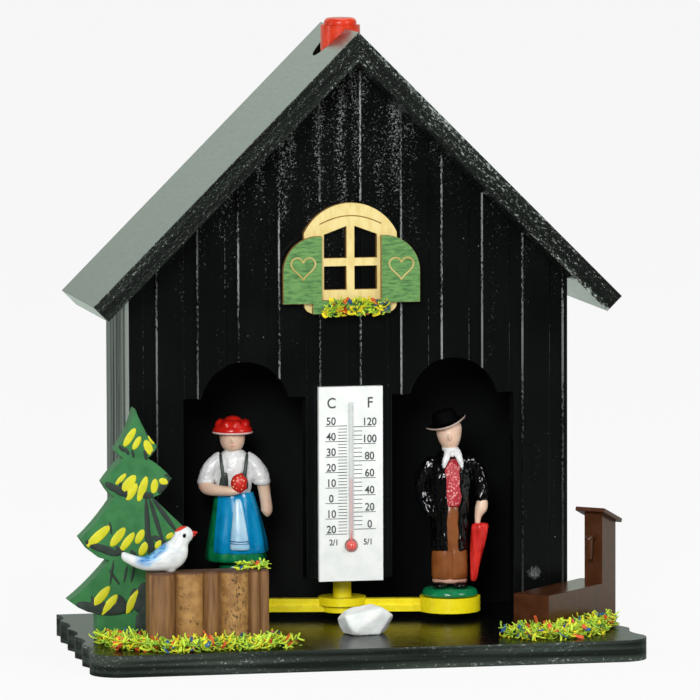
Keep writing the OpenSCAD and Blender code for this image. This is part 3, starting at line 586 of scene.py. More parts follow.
stand_green = moulded("green_stand_paint", "#128A55", "#0A6E42", 0.25)
skirt_green = moulded("green_skirt_paint", "#0F8450", "#086038", 0.22)
apron_blue = moulded("blue_apron_paint", "#0A90C6", "#047DB2", 0.15)
apron_pale = moulded("pale_apron_panel", "#B9DCEF", "#93C6E4", 0.2)
navy_line = moulded("navy_apron_line", "#1B4F93", "#153E78", 0.3)
blouse_white = moulded("white_blouse_paint", "#E9EAE9", "#D8DADA", 0.28)
skin_pink = moulded("flesh_polystyrene", "#EBCCB4", "#DFBAA2", 0.36, glow_through=0.3)
lip_faded = moulded("faded_lip_paint", "#D9A392", "#CF9584", 0.4)
hat_red = moulded("red_hat_paint", "#D8251A", "#B81410", 0.2)
fringe_pale = moulded("pale_hat_fringe", "#E9CFCB", "#D9AFAA", 0.4)
brace_dark = moulded("dark_brace_paint", "#3B4742", "#2A332F", 0.35)
flower_red = moulded("red_flower_paint", "#D62A22", "#B51A16", 0.3)
dot_cream = moulded("cream_dot_paint", "#F4E3B4", "#E8D08C", 0.4)

woman_stand = loft("woman_stand", stand_ovals, 48)
on_woman([woman_stand], stand_green)
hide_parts("woman_figure")


waist, pleats = 31, 11


def pleat(piece, spread, depth, drop):
    """Pleats that deepen from the waist down over drop, in mm, on a skin spread by a factor."""
    for v in piece.data.vertices:
        low = max(0.0, min(1.0, (waist - v.co.z / mm) / drop))
        fold = spread + depth * low * math.sin(pleats * math.atan2(v.co.y, v.co.x))
        v.co.x, v.co.y = v.co.x * fold, v.co.y * fold


petticoat = loft("woman_petticoat", [(2.4, 5.0, 4.4), (4, 4.6, 4.0), (8, 4.4, 3.8), (11.6, 5.4, 4.6)], 36)
skirt = loft("woman_skirt", [
    (11.2, 7.6, 5.8, 0.6), (11.1, 9.1, 7.0, 0.6), (11.9, 9.55, 7.4, 0.6), (13.4, 9.3, 7.2, 0.6),
    (18, 8.7, 6.7, 0.5), (23, 7.8, 6.0, 0.4), (28, 6.7, 5.1, 0.2), (31, 6.1, 4.6, -0.1),
    (32.4, 5.9, 4.5, -0.2),
], 96, 0)
pleat(skirt, 1.0, 0.022, 17)
finish_with(skirt, "SUBSURF", levels=1, render_levels=1)
on_woman([petticoat, skirt], skirt_green)

apron = loft("woman_apron", [
    (14.0, 8.9, 6.9, 0.8), (14.4, 9.25, 7.15, 0.8), (18, 8.85, 6.8, 0.7), (23, 7.95, 6.15, 0.6),
    (28, 6.9, 5.3, 0.3), (31.2, 6.2, 4.8, 0), (32.6, 5.95, 4.6, -0.2),
], 96, 0)
pleat(apron, 1.04, 0.042, 14)
bpy.ops.object.mode_set(mode="EDIT")
bpy.ops.mesh.select_all(action="SELECT")
bpy.ops.mesh.bisect(plane_co=(-2.2 * mm, 0, 0), plane_no=(-0.75, 0.66, 0), clear_outer=True, use_fill=True)
bpy.ops.object.mode_set(mode="OBJECT")
finish_with(apron, "BEVEL", width=0.3 * mm, segments=2, limit_method="ANGLE", angle_limit=math.radians(50))
on_woman([apron], apron_blue)

panel = loft("woman_apron_panel", [
    (15.2, 3.0, 0.9, 1.8, -7.2), (15.6, 3.1, 1.0, 1.8, -7.2), (20, 2.6, 0.95, 1.6, -6.6),
    (26, 1.9, 0.85, 1.4, -5.7), (30.4, 1.1, 0.6, 1.2, -4.95), (31, 0.7, 0.4, 1.2, -4.75),
], 28)
on_woman([panel], apron_pale)
hem_lines = [
    limb("woman_apron_line_%d" % (z * 10), [
        (-1.05, -7.3, z + 0.2, 0.16), (0.3, -7.95, z, 0.18), (2.7, -8.0, z - 0.1, 0.18),
        (4.5, -7.3, z + 0.1, 0.16),
    ], 6)
    for z in (17.2, 17.9)
]
on_woman(hem_lines, navy_line)

bodice = loft("woman_blouse_body", [
    (31.4, 5.7, 4.4, -0.2), (33, 5.5, 4.2, -0.1), (37, 5.6, 4.3), (41, 5.9, 4.0), (43.6, 5.2, 3.4),
    (45.2, 3.4, 2.7), (45.9, 2.4, 2.2),
], 40)
sleeves, cuffs, braces = [], [], []
for side, way in both_sides:
    sleeves.append(limb("woman_sleeve_" + side, [
        (way * 3.6, 0.2, 43.4, 2.1), (way * 5.8, 0.1, 42.0, 2.4), (way * 7.4, -0.1, 39.4, 2.7),
        (way * 8.4, -0.4, 37.0, 2.9), (way * 8.7, -0.6, 35.6, 2.4), (way * 8.7, -0.6, 35.0, 2.1),
    ], 16))
    cuffs.append(limb("woman_cuff_" + side, [
        (way * 8.6, -0.6, 36.6, 2.5), (way * 8.65, -0.65, 36.0, 2.85), (way * 8.7, -0.7, 35.4, 2.8),
        (way * 8.7, -0.7, 35.0, 2.4),
    ], 14))
    braces.append(limb("woman_brace_" + side, [
        (way * 4.1, -1.9, 44.6, 0.4), (way * 3.95, -3.5, 43.0, 0.5), (way * 3.5, -4.35, 39.6, 0.5),
        (way * 3.2, -4.65, 36.6, 0.6), (way * 2.8, -4.75, 34.2, 0.5),
    ], 8))
    braces.append(loft("woman_bodice_" + side, [
        (33.6, 1.3, 0.6, way * 3.2, -4.3), (35.4, 1.5, 0.6, way * 3.1, -4.35),
        (37.6, 1.25, 0.5, way * 3.0, -4.3), (39.2, 0.5, 0.35, way * 2.5, -4.3),
    ], 20))
blouse = fuse("woman_blouse", [bodice] + sleeves, 0.3, 4)
ripple(blouse, 1.8, 0.5)
on_woman([blouse] + cuffs, blouse_white)
on_woman(braces, brace_dark)

left_arm = limb("woman_left_arm", [
    (-8.4, -0.6, 37.0, 2.1), (-9.5, -1.0, 34.2, 2.5), (-6.4, -3.6, 33.5, 1.85), (-2.6, -5.6, 33.4, 1.55),
    (0.6, -6.3, 33.6, 1.5), (1.9, -6.4, 33.8, 1.0),
], 14)
right_arm = limb("woman_right_arm", [
    (8.6, -0.1, 37.4, 2.1), (9.2, -0.4, 34.4, 2.0), (9.8, -0.7, 30.4, 1.75), (10.2, -1.0, 27.6, 1.9),
    (10.1, -1.1, 26.0, 1.8), (9.6, -1.1, 25.4, 0.9),
], 14)
head = loft("woman_head", [
    (45.0, 2.0, 2.0, -0.2), (45.5, 2.2, 2.3, -0.3, -0.3), (46.1, 3.0, 3.0, -0.35, -0.5),
    (47.4, 3.7, 3.7, -0.4, -0.4), (49.4, 4.0, 4.1, -0.4), (51.4, 4.0, 4.1, -0.4, 0.1),
    (53.0, 3.2, 3.4, -0.4, 0.2),
], 36)
nose = ball("woman_nose", -0.4, -4.15, 48.9, 0.45, 0.55, 0.9, 8)
on_woman([left_arm, right_arm, fuse("woman_face", [head, nose], 0.25, 4)], skin_pink)
lips = [(46.95, 0.5, 0.2, -0.4, -3.85), (47.2, 0.75, 0.3, -0.4, -3.95), (47.45, 0.5, 0.2, -0.4, -3.95)]
on_woman([loft("woman_lips", lips, 16)], lip_faded)

hat_parts = [loft("woman_hat_brim", [
    (51.0, 6.0, 5.7, -0.3), (51.5, 6.4, 6.0, -0.3), (52.3, 6.1, 5.8, -0.3), (53.6, 5.2, 5.0, -0.3),
    (54.9, 4.0, 3.8, -0.3), (55.4, 2.4, 2.2, -0.3),
], 40)]
for k in range(8):
    turn = 2 * math.pi * k / 8 + 0.3
    x, y = -0.3 + 3.9 * math.cos(turn), 3.6 * math.sin(turn)
    hat_parts.append(ball("woman_hat_pompom_%d" % k, x, y, 53.7, 1.75, 1.75, 1.5, 10))
hat_parts.append(ball("woman_hat_crown_pompom", -0.2, -0.2, 55.0, 2.6, 2.5, 1.3, 10))
on_woman([fuse("woman_hat", hat_parts, 0.25, 3)], hat_red)
fringe = [(50.7, 5.6, 5.3, -0.3), (50.8, 6.2, 5.8, -0.3), (51.2, 6.45, 6.0, -0.3), (51.6, 6.1, 5.7, -0.3)]
on_woman([loft("woman_hat_fringe", fringe, 40)], fringe_pale)

bunch_x, bunch_z, golden_turn = 1.55, 36.0, 2.4
bunch_parts = [ball("woman_bunch_core", bunch_x, -6.7, bunch_z, 2.5, 1.8, 3.0, 12)]
for k in range(14):
    turn, out = k * golden_turn, 0.55 + 0.45 * (k % 3) / 2
    x, z = bunch_x + 2.1 * out * math.cos(turn), bunch_z + 2.6 * out * math.sin(turn)
    bunch_parts.append(ball("woman_bunch_bud_%d" % k, x, -7.5 + 0.9 * out, z, 0.75, 0.7, 0.75, 8))
on_woman([fuse("woman_flower_bunch", bunch_parts, 0.22, 2)], flower_red)
dots = []
for k in range(13):
    turn, out = k * golden_turn, 0.3 + 1.75 * math.sqrt(k / 13)
    x, z = bunch_x + out * math.cos(turn), bunch_z + 0.2 + 1.15 * out * math.sin(turn)
    dots.append(ball("woman_flower_dot_%d" % k, x, -8.32 + 0.11 * out * out, z, 0.22, 0.16, 0.22, 6))
on_woman([join("woman_flower_dots", dots)], dot_cream)

# The man is the other painted moulding: tilted black hat, white collar, red waistcoat, open black
# coat, brown trousers and a folded red umbrella held down at the side.
man_at = (disc_reach * math.cos(swing), axis_y + disc_reach * math.sin(swing), disc_top)


def on_man(pieces, paint):
    """Paints pieces of the man and sets them down on the beam's right disc."""
    set_down(pieces, paint, "beam", man_at, swing)


coat_black = moulded("black_coat_gloss", "#070708", "#030304", 0.14, 1.43, 0.05)
trouser_brown = moulded("brown_trouser_paint", "#8F5226", "#78401B", 0.28)
hem_pale = moulded("pale_trouser_hem", "#C79B86", "#B58671", 0.4)
shoe_black = moulded("black_shoe_gloss", "#0A0A0A", "#040404", 0.12)
vest_red = moulded("red_waistcoat_paint", "#C43A46", "#A8242F", 0.2, 0.667, 0.9, fleck="#EFA6A2")
umbrella_red = moulded("red_umbrella_paint", "#E0322B", "#C6221E", 0.2)
felt_black = moulded("black_hat_paint", "#030303", "#020202", 0.7, shine=0.06)
edge_bare = moulded("bare_hat_edge", "#BDA99E", "#A48F84", 0.35)

man_stand = loft("man_stand", stand_ovals, 48)
on_man([man_stand], stand_green)
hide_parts("man_figure")

shoes = []
for side, way in both_sides:
    toe = ball("man_toe_" + side, way * 3.0, -3.0, 3.5, 2.5, 2.6, 1.2, 12)
    heel = ball("man_heel_" + side, way * 2.8, 0.6, 3.7, 2.2, 2.8, 1.5, 12)
    shoes.append(fuse("man_shoe_" + side, [toe, heel], 0.25, 3))
on_man(shoes, shoe_black)
hem = [(4.1, 5.0, 3.5), (4.2, 5.45, 3.9), (5.3, 5.5, 4.0), (5.6, 5.2, 3.7)]
on_man([loft("man_trouser_hem", hem, 36)], hem_pale)

trousers = loft("man_trousers", [
    (5.2, 5.4, 3.9), (5.5, 5.65, 4.15), (8, 5.7, 4.2), (12, 5.65, 4.15), (14.1, 5.6, 4.1), (14.5, 5.3, 3.8),
    (20, 4.6, 3.9), (26, 4.3, 3.9), (30, 4.2, 3.6),
], 56)
parting_top, parting_deep, parting_wide = 14.6, 0.7, 0.8
for v in trousers.data.vertices:
    if v.co.y < 0 and v.co.z < parting_top * mm:
        v.co.y += parting_deep * mm * math.exp(-((v.co.x / mm) / parting_wide) ** 2)
ripple(trousers, 2.5, 0.25)
on_man([trousers], trouser_brown)

waistcoat = loft("man_waistcoat", [
    (27.6, 3.6, 3.4, 0.6, -0.6), (28.4, 3.9, 3.7, 0.7, -0.7), (33, 3.9, 3.8, 0.8, -0.7),
    (38, 4.1, 3.8, 0.8, -0.5), (41.4, 3.6, 3.2, 0.7, -0.2), (43, 2.4, 2.2, 0.5),
], 40)
finish_with(waistcoat, "SUBSURF", levels=1, render_levels=1)
ripple(waistcoat, 0.55, 0.5)
on_man([waistcoat], vest_red)

coat_body = loft("man_coat", [
    (14.2, 5.4, 4.3, 0.1, 0.4), (14.3, 6.0, 4.8, 0.1, 0.4), (15.4, 6.1, 4.9, 0.1, 0.4),
    (20, 5.9, 4.8, 0.2, 0.4), (26, 6.1, 4.6, 0.0, 0.3), (31, 6.5, 4.5, 0.0, 0.2), (36, 6.8, 4.5, 0.2, 0.2),
    (40.4, 6.9, 4.2, 0.5, 0.2), (43, 5.6, 3.6, 0.5, 0.3), (45, 3.2, 2.8, 0.2, 0.4),
], 64)
opening = loft("man_coat_opening", [
    (10, 1.9, 6, 1.0, -6.2), (28, 1.9, 6, 1.0, -6.2), (37, 2.2, 6, 1.0, -5.6), (42, 3.0, 6, 0.9, -5.2),
    (47, 3.4, 6, 0.6, -5.0),
], 24, 0)
finish_with(coat_body, "BOOLEAN", operation="DIFFERENCE", object=opening)
bpy.data.objects.remove(opening)
left_sleeve = limb("man_left_sleeve", [
    (-4.6, 0.4, 42.0, 2.1), (-6.8, 0.4, 40.4, 2.4), (-8.6, 0.6, 36.6, 2.2), (-9.3, 0.6, 33.0, 2.1),
    (-7.8, -0.6, 29.0, 1.9), (-6.0, -1.8, 26.0, 1.8), (-5.2, -2.2, 25.0, 1.2),
], 14)
right_sleeve = limb("man_right_sleeve", [
    (5.4, 0.4, 42.6, 2.1), (7.4, 0.3, 41.2, 2.5), (9.2, 0.2, 37.6, 2.3), (10.0, -0.2, 34.0, 2.2),
    (10.1, -0.9, 30.8, 2.2), (10.1, -1.1, 29.6, 2.1),
], 14)
coat = fuse("man_open_coat", [coat_body, left_sleeve, right_sleeve], 0.3, 6)
ripple(coat, 3.4, 0.6)
crease_wide, crease_long, crease_deep = 0.9, 3.6, 0.42
for v in coat.data.vertices:
    crease = noise.noise(Vector((v.co.x / crease_wide, v.co.y / crease_wide, v.co.z / crease_long)) / mm)
    v.co += v.normal * crease * crease_deep * mm
on_man([coat], coat_black)

neckwear = []
for side, way, x in (("left", -1, -1.6), ("right", 1, 3.4)):
    neckwear.append(loft("man_collar_" + side, [
        (39.8, 0.25, 0.35, x + way * 0.3, -4.4), (41.2, 0.8, 0.5, x + way * 0.1, -4.3),
        (43.0, 1.1, 0.7, x - way * 0.5, -3.8), (45.0, 1.2, 0.9, x - way * 1.1, -2.8),
        (46.0, 0.9, 0.7, x - way * 1.3, -2.2),
    ], 24))
neckwear.append(loft("man_neckcloth", [
    (43.4, 1.6, 1.2, 0.8, -2.6), (44.6, 2.4, 2.2, 0.6, -1.4), (46.0, 2.7, 2.6, 0.2, -0.4),
    (46.7, 2.4, 2.4, 0),
], 32))
neckwear.append(ball("man_neckcloth_knot", 0.7, -3.9, 44.3, 0.8, 0.7, 0.9, 10))
collar = fuse("man_collar", neckwear, 0.22, 1)
ripple(collar, 0.9, 0.35)
on_man([collar], blouse_white)

head = loft("man_head", [
    (45.2, 2.2, 2.2), (46.2, 2.3, 2.5, 0.1, -0.2), (47.0, 2.8, 3.1, 0, -0.5), (48.6, 3.5, 3.7, -0.1, -0.4),
    (50.6, 4.0, 4.0, -0.2), (52.8, 4.0, 4.0, -0.2), (54.2, 3.4, 3.6, -0.2),
], 36)
nose = ball("man_nose", -0.1, -4.1, 49.6, 0.6, 0.8, 1.0, 8)
hand = limb("man_hand", [
    (10.0, -1.1, 30.2, 1.6), (10.0, -1.3, 28.4, 1.9), (9.6, -1.5, 27.0, 2.0), (8.9, -1.7, 25.8, 1.3),
    (8.5, -1.8, 24.0, 0.9), (8.6, -1.9, 22.6, 0.8),
], 12)
on_man([fuse("man_face", [head, nose], 0.25, 4), hand], skin_pink)

brim = loft("man_hat_brim", [
    (0, 4.2, 4.0), (-0.2, 5.9, 5.3), (0.1, 6.25, 5.6), (0.5, 6.1, 5.5), (0.7, 4.4, 4.2),
], 48)
brim_curl, edge_over, edge_under = 0.03, 1.04, 1.1
for v in brim.data.vertices:
    v.co.z += brim_curl * (v.co.x / mm) ** 2 * mm
brim_edge = brim.copy()
brim_edge.data = brim.data.copy()
bpy.context.scene.collection.objects.link(brim_edge)
brim_edge.name = "man_hat_brim_edge"
brim_edge.data.transform(Matrix.Diagonal((edge_over, edge_over, edge_under, 1)))
crown = loft("man_hat_crown", [
    (0.4, 4.4, 4.2), (1.0, 4.3, 4.1), (2.6, 3.9, 3.8), (4.2, 3.7, 3.5), (5.0, 3.3, 3.1), (4.9, 2.0, 1.6),
], 40)
tilted = Matrix.Translation((-0.7 * mm, 0, 52.6 * mm)) @ Matrix.Rotation(math.radians(-18), 4, "Y")
for part, lift in ((brim, 0.28), (crown, 0.28), (brim_edge, 0.0)):
    part.data.transform(Matrix.Translation((0, 0, lift * mm)))
    part.data.transform(tilted)
on_man([brim, crown], felt_black)
on_man([brim_edge], edge_bare)

furl_y, tip_x, tip_z, slant = -1.9, 7.2, 4.6, 0.121
furl_turn, furl_folds, furl_deep = 0.09, 6, 0.11
umbrella = loft("man_umbrella", [
    (tip_z, 0.5, 0.5, tip_x, furl_y), (5.2, 1.0, 1.0, 7.25, furl_y), (10, 1.45, 1.4, 7.7, furl_y),
    (16, 2.1, 2.0, 8.5, furl_y), (21, 2.7, 2.5, 9.2, furl_y), (22.4, 2.6, 2.4, 9.4, furl_y),
    (22.9, 1.4, 1.3, 9.3, furl_y),
], 48)
for v in umbrella.data.vertices:
    middle = tip_x + (v.co.z / mm - tip_z) * slant
    angle = math.atan2(v.co.y / mm - furl_y, v.co.x / mm - middle) + v.co.z / mm * furl_turn
    pinch = 1 + furl_deep * math.sin(furl_folds * angle)
    v.co.x = (middle + (v.co.x / mm - middle) * pinch) * mm
    v.co.y = (furl_y + (v.co.y / mm - furl_y) * pinch) * mm
on_man([umbrella], umbrella_red)

# The thermometer card is white moulded plastic, printed in grey with a Celsius scale at the left
# and a Fahrenheit scale at the right, and glued to the pillar.
dress("thermometer_card", moulded("white_card_plastic", "#F3F6F3", "#E9EEEA", 0.38, 0.833, 0.01, shine=0.2))
card_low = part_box("thermometer_card")[0] / mm
print_y = card_low.y - 0.03
ink, tree, shader = new_finish("grey_printing_ink")
place = add(tree, "TexCoord").outputs["Object"]
patch = add(tree, "TexNoise", {"Vector": place, "Scale": grain_of(0.4), "Detail": 2.0})
tone = add(tree, "ValToRGB", (patch,), [(0.3, "#34363A"), (0.75, "#5A5D62")])
wire(tree, shader, {"Base Color": tone, "Roughness": 0.6})
print_parts = []
em_share, ink_spread, ink_thick, type_narrow = 1.42, 0.055, 0.02, 0.9


def printed(words, x, z, tall):
    """One printed word on the card, centred at x and with its foot at z, in mm from the card's foot."""
    bpy.ops.object.select_all(action="DESELECT")
    bpy.ops.object.text_add()
    made = bpy.context.object
    made.data.body = words
    made.data.align_x = "CENTER"
    made.data.size = tall * em_share * mm
    made.data.offset = ink_spread * mm
    made.data.extrude = ink_thick * mm
    bpy.ops.object.convert(target="MESH")
    made = bpy.context.object
    made.data.transform(
        Matrix.Translation((x * mm, print_y * mm, (card_low.z + z) * mm))
        @ Matrix.Rotation(math.pi / 2, 4, "X")
        @ Matrix.Diagonal((type_narrow, 1, 1, 1))
    )
    print_parts.append(made)


def ruled(x0, x1, foot, step, count, thick):
    """A ladder of printed lines from x0 to x1, the first at height foot and the next each step above it."""
    bpy.ops.object.select_all(action="DESELECT")
    bpy.ops.mesh.primitive_cube_add(size=1.0)
    made = bpy.context.object
    bpy.ops.object.mode_set(mode="EDIT")
    bpy.ops.mesh.select_all(action="SELECT")
    bpy.ops.transform.resize(value=((x1 - x0) * mm, 2 * ink_thick * mm, thick * mm))
    bpy.ops.transform.translate(value=((x0 + x1) / 2 * mm, print_y * mm, (card_low.z + foot) * mm))
    bpy.ops.object.mode_set(mode="OBJECT")
    spacing = {"use_constant_offset": True, "constant_offset_displace": (0, 0, step * mm)}
    print_parts.append(finish_with(made, "ARRAY", count=count, use_relative_offset=False, **spacing))


ten_celsius, twenty_fahrenheit = 4.77, 5.27
printed("C", -6.05, 53.5, 3.2)
printed("F", 6.0, 53.5, 3.2)
for k, number in enumerate(("20", "10", "0", "10", "20", "30", "40", "50")):
    printed(number, -6.2, 14.95 + ten_celsius * k, 2.35)
for k, number in enumerate(("0", "20", "40", "60", "80", "100", "120")):
    printed(number, 5.8, 16.4 + twenty_fahrenheit * k, 2.35)
printed("2/1", -5.4, 11.2, 1.8)
printed("5/1", 5.3, 11.2, 1.8)
ruled(-8.0, -1.25, 14.57, ten_celsius, 8, 0.2)
ruled(-4.0, -1.25, 14.57, ten_celsius / 5, 36, 0.21)
ruled(0.85, 7.7, 16.0, twenty_fahrenheit, 7, 0.2)
ruled(0.85, 3.5, 16.0, twenty_fahrenheit / 4, 25, 0.21)
set_down([join("thermometer_print", print_parts)], ink, "house")

# The thermometer's glass is a capillary with a blown bulb, clear with a milky back, and holds
# spirit dyed red.
glass, tree, clear = new_finish("capillary_glass")
place = add(tree, "TexCoord").outputs["Object"]
seed = add(tree, "TexNoise", {"Vector": place, "Scale": grain_of(1.67), "Detail": 2.0})
tone = add(tree, "ValToRGB", (seed,), [(0.3, "#E9EFEE"), (0.7, "#F8FBFA")])
haze = add(tree, "MapRange", {"Value": seed, "To Min": 0.02, "To Max": 0.1})
up = add(tree, "SeparateXYZ", (place,)).outputs["Z"]
milk = add(tree, "MapRange", {
    "Value": up, "From Min": 33 * mm, "From Max": 36 * mm, "To Min": 0.06, "To Max": 0.34,
})
wire(tree, clear, {"Base Color": tone, "Roughness": haze, "Alpha": milk, "IOR": 1.5})
dress("thermometer_tube", glass)
dress("thermometer_liquid", moulded("red_dyed_spirit", "#F0361E", "#DC2412", 0.15, glow_through=0.3))

# The window frame is thin plywood cut by a hot beam, so its edges are burnt brown; the face is
# painted cream, and an arc is burnt into it above the panes.


def burnt(name, face, deep, brush):
    """Painted thin plywood with scorched edges: brush is the stretch of the brush marks."""
    made, tree, paint = new_finish(name)
    along = add(tree, "Mapping", {"Vector": add(tree, "TexCoord").outputs["Object"], "Scale": brush})
    stroke = add(tree, "TexNoise", {
        "Vector": along, "Scale": grain_of(0.909), "Detail": 4.0, "Roughness": 0.65,
    })
    tone = add(tree, "ValToRGB", (stroke,), [(0.36, deep), (0.56, face)])
    facing = add(tree, "SeparateXYZ", (add(tree, "Bevel", {"Radius": 0.5 * mm}, samples=8),))
    scorch = add(tree, "MapRange", {"Value": facing.outputs["Y"], "From Min": -0.98, "From Max": -0.55})
    edge = add(tree, "ValToRGB", (stroke,), [(0.3, "#6E4718"), (0.7, "#B98A3E")])
    colour = add(tree, "Mix", (scorch, tone, edge), data_type="RGBA")
    bump = add(tree, "Bump", {"Strength": 0.6, "Distance": 0.16 * mm, "Height": stroke})
    wire(tree, paint, {"Base Color": colour, "Normal": bump, "Roughness": 0.5})
    return made


dress("window_frame", burnt("cream_painted_ply", "#EBD893", "#E1CA7E", (0.5, 1.0, 0.15)))
frame_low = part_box("window_frame")[0] / mm
arc_half, arc_top, arc_fall = 9.6, 29.9, 0.028
arc = []
for k in range(9):
    x = -arc_half + 2 * arc_half * k / 8
    arc.append((x, frame_low.y - 0.02, frame_low.z + arc_top - arc_fall * x**2, 0.17))
burn_line = moulded("burnt_line", "#9C7426", "#7C5618", 0.7)
set_down([limb("window_burnt_arc", arc, 6)], burn_line, "house")

# The shutters and the flower box are one piece of the same ply, painted green in short level brush
# strokes, with a heart scored into each shutter.
dress("shutter_plate", burnt("green_painted_ply", "#689A52", "#3B6E38", (0.24, 1.0, 1.1)))
plate_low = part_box("shutter_plate")[0] / mm
score = moulded("scored_heart_line", "#C9BC78", "#AF9F52", 0.6)
hearts = []
for side, heart_x, heart_up in (("left", -15.1, 14.5), ("right", 15.5, 14.1)):
    outline = []
    for k in range(25):
        t = 2 * math.pi * k / 24
        rise = 13 * math.cos(t) - 5 * math.cos(2 * t) - 2 * math.cos(3 * t) - math.cos(4 * t)
        x, z = heart_x + 3.9 * math.sin(t) ** 3, plate_low.z + heart_up + 0.24 * rise
        outline.append((x, plate_low.y - 0.02, z, 0.31))
    hearts.append(limb("shutter_heart_" + side, outline, 6))
set_down(hearts, score, "house")

# The flowers and the grass are dyed flock: short curled shavings in greens, yellow, blue and rust,
# strewn on glue. A few long blades stick out.
flock_tints = {
    "lime": ("#DCF648", "#C0E236"), "leaf": ("#A6D244", "#8ABA34"), "deep": ("#4E8A42", "#3C702E"),
    "yellow": ("#FBEA2A", "#F0D818"), "blue": ("#346AA6", "#285086"), "rust": ("#E8642F", "#CC4C22"),
}
flock = {tint: moulded("flock_" + tint, bright, deep, 0.65) for tint, (bright, deep) in flock_tints.items()}
meadow = (50, 24, 5, 12, 4, 5)
window_mix = (30, 22, 8, 26, 4, 10)
shavings = []
for curl in (0.4, 1.1, 1.9):
    bpy.ops.object.select_all(action="DESELECT")
    bpy.ops.mesh.primitive_grid_add(x_subdivisions=5, y_subdivisions=1, size=1.0)
    strip = bpy.context.object
    for v in strip.data.vertices:
        bend, wide = v.co.x * curl, 0.3 - 0.3 * abs(v.co.x) ** 2
        v.co = Vector((math.sin(bend) / curl, v.co.y * wide, (1 - math.cos(bend)) / curl))
    shavings.append(finish_with(strip, "SOLIDIFY", thickness=0.06))
dice = random.Random(7)
blade_stretch, petal_stretch, strand_wide = 2.2, 1.8, 1.35


def strew(name, spots, stands_for, long_share=0.03, piece_long=(1.8, 4.4), mix=meadow):
    """Strews shavings on spots of (x, y, z in mm, tilt), joins them and lets them replace a node."""
    copies = []
    for x, y, z, tilt in spots:
        tint = dice.choices(list(flock), mix)[0]
        copy = dice.choice(shavings).copy()
        copy.data = copy.data.copy()
        copy.data.materials.clear()
        copy.data.materials.append(flock[tint])
        size = dice.uniform(*piece_long) * (blade_stretch if dice.random() < long_share else 1.0)
        broad = tint in ("blue", "rust") or mix is window_mix and tint == "yellow"
        wide = dice.uniform(1.0, 1.9) * (petal_stretch if broad else 1.0) * strand_wide
        lie = Euler((dice.uniform(-0.9, 0.9), dice.uniform(-tilt, tilt), dice.uniform(0, 6.3)))
        copy.data.transform(
            Matrix.Translation((x * mm, y * mm, z * mm))
            @ lie.to_matrix().to_4x4()
            @ Matrix.Diagonal((size * mm, wide * mm, size * mm, 1))
        )
        bpy.context.scene.collection.objects.link(copy)
        copies.append(copy)
    bed = join(name, copies)
    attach(bed, "house")
    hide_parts(stands_for)


low, high = (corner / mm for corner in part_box("window_flowers"))
spots = []
for k in range(170):
    along = dice.uniform(0, 1)
    x, y = low.x + 2.0 + along * (high.x - low.x - 2.4), dice.uniform(low.y + 0.6, high.y - 0.3)
    spots.append((x, y, low.z + dice.uniform(0.4, 5.6) * (0.75 + 0.25 * math.sin(3.1 * along)), 1.0))
strew("window_flower_tuft", spots, "window_flowers", 0.0, (1.6, 3.2), window_mix)

# The left bed runs along the board's front edge round the logs' and the tree's feet; the right bed
# lies round the trough, and a tuft grows on the logs.
board_top = 6.6
bed_foot, bed_tall, bed_thinning, bed_tilt = 0.3, 3.0, 1.3, 0.9
trough_x, trough_y, trough_turn = 54.53, -28.15, math.radians(48)


def bed_spots(corners, covered, count):
    """Random spots inside a polygon of corners, where covered(x, y) says that nothing stands."""
    found = []
    across, back = zip(*corners)
    while len(found) < count:
        x, y = dice.uniform(min(across), max(across)), dice.uniform(min(back), max(back))
        inside = False
        for (ax, ay), (bx, by) in zip(corners, corners[1:] + corners[:1]):
            if (ay > y) != (by > y) and x < ax + (bx - ax) * (y - ay) / (by - ay):
                inside = not inside
        if inside and not covered(x, y):
            found.append((x, y, board_top + bed_foot + bed_tall * dice.random() ** bed_thinning, bed_tilt))
    return found


def in_logs(x, y):
    """Whether the logs stand on a spot of the board."""
    return -69.4 < x < -31.8 and -33.5 < y < -23.7


def in_trough(x, y):
    """Whether the trough stands on a spot of the board."""
    dx, dy = x - trough_x, y - trough_y
    along = dx * math.cos(trough_turn) + dy * math.sin(trough_turn)
    across = -dx * math.sin(trough_turn) + dy * math.cos(trough_turn)
    return -0.3 < along < 43 and -0.5 < across < 12.6


left_corners = [
    (-85, -18), (-80, -37), (-62, -46.5), (-36, -46.5), (-23, -39), (-29, -31), (-31, -26), (-62, -20),
    (-80, -16.5),
]
right_corners = [
    (38, -33), (44, -43), (58, -44), (70.5, -33), (78.5, -20), (79.5, -5), (76, -6), (66, -16), (54, -28),
    (45, -22),
]
strew("garden_grass_left", bed_spots(left_corners, in_logs, 900), "grass_left")
strew("garden_grass_right", bed_spots(right_corners, in_trough, 640), "grass_right")
low, high = (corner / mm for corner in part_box("log_grass"))
spots = []
for k in range(70):
    x, y = dice.uniform(low.x, high.x), dice.uniform(low.y, high.y)
    spots.append((x, y, low.z + dice.uniform(0.2, 2.2), bed_tilt))
strew("log_tuft", spots, "log_grass", 0.02, (1.3, 2.8))
for strip in shavings:
    bpy.data.objects.remove(strip)

# The fir is sawn from a board and painted green, with dark brush strokes along the boughs' lower
# edges and slanting yellow dabs for the light on them. The long dark strokes down the trunk's
# right half are partly dark paint and partly painted shade.
dress("fir_tree", moulded("fir_green_paint", "#3B7C48", "#2F6C3E", 0.5, 1.43, 0.06, shine=0.25))
fir_dark = moulded("fir_dark_stroke", "#2B3A33", "#202B26", 0.55)
fir_yellow = moulded("fir_yellow_dab", "#DAD61E", "#C4C414", 0.45)
fir_low, fir_high = (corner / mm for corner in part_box("fir_tree"))
fir_tip_x, fir_tip_z = -70.5, board_top + 70.2
tip_across, tip_down, step_across, step_down = 385, 55, 0.06, 0.0587


def on_fir(across, down):
    """A place on the fir's face as x and z in mm, from the fine grid that the strokes are listed in."""
    return fir_tip_x + (across - tip_across) * step_across, fir_tip_z - (down - tip_down) * step_down


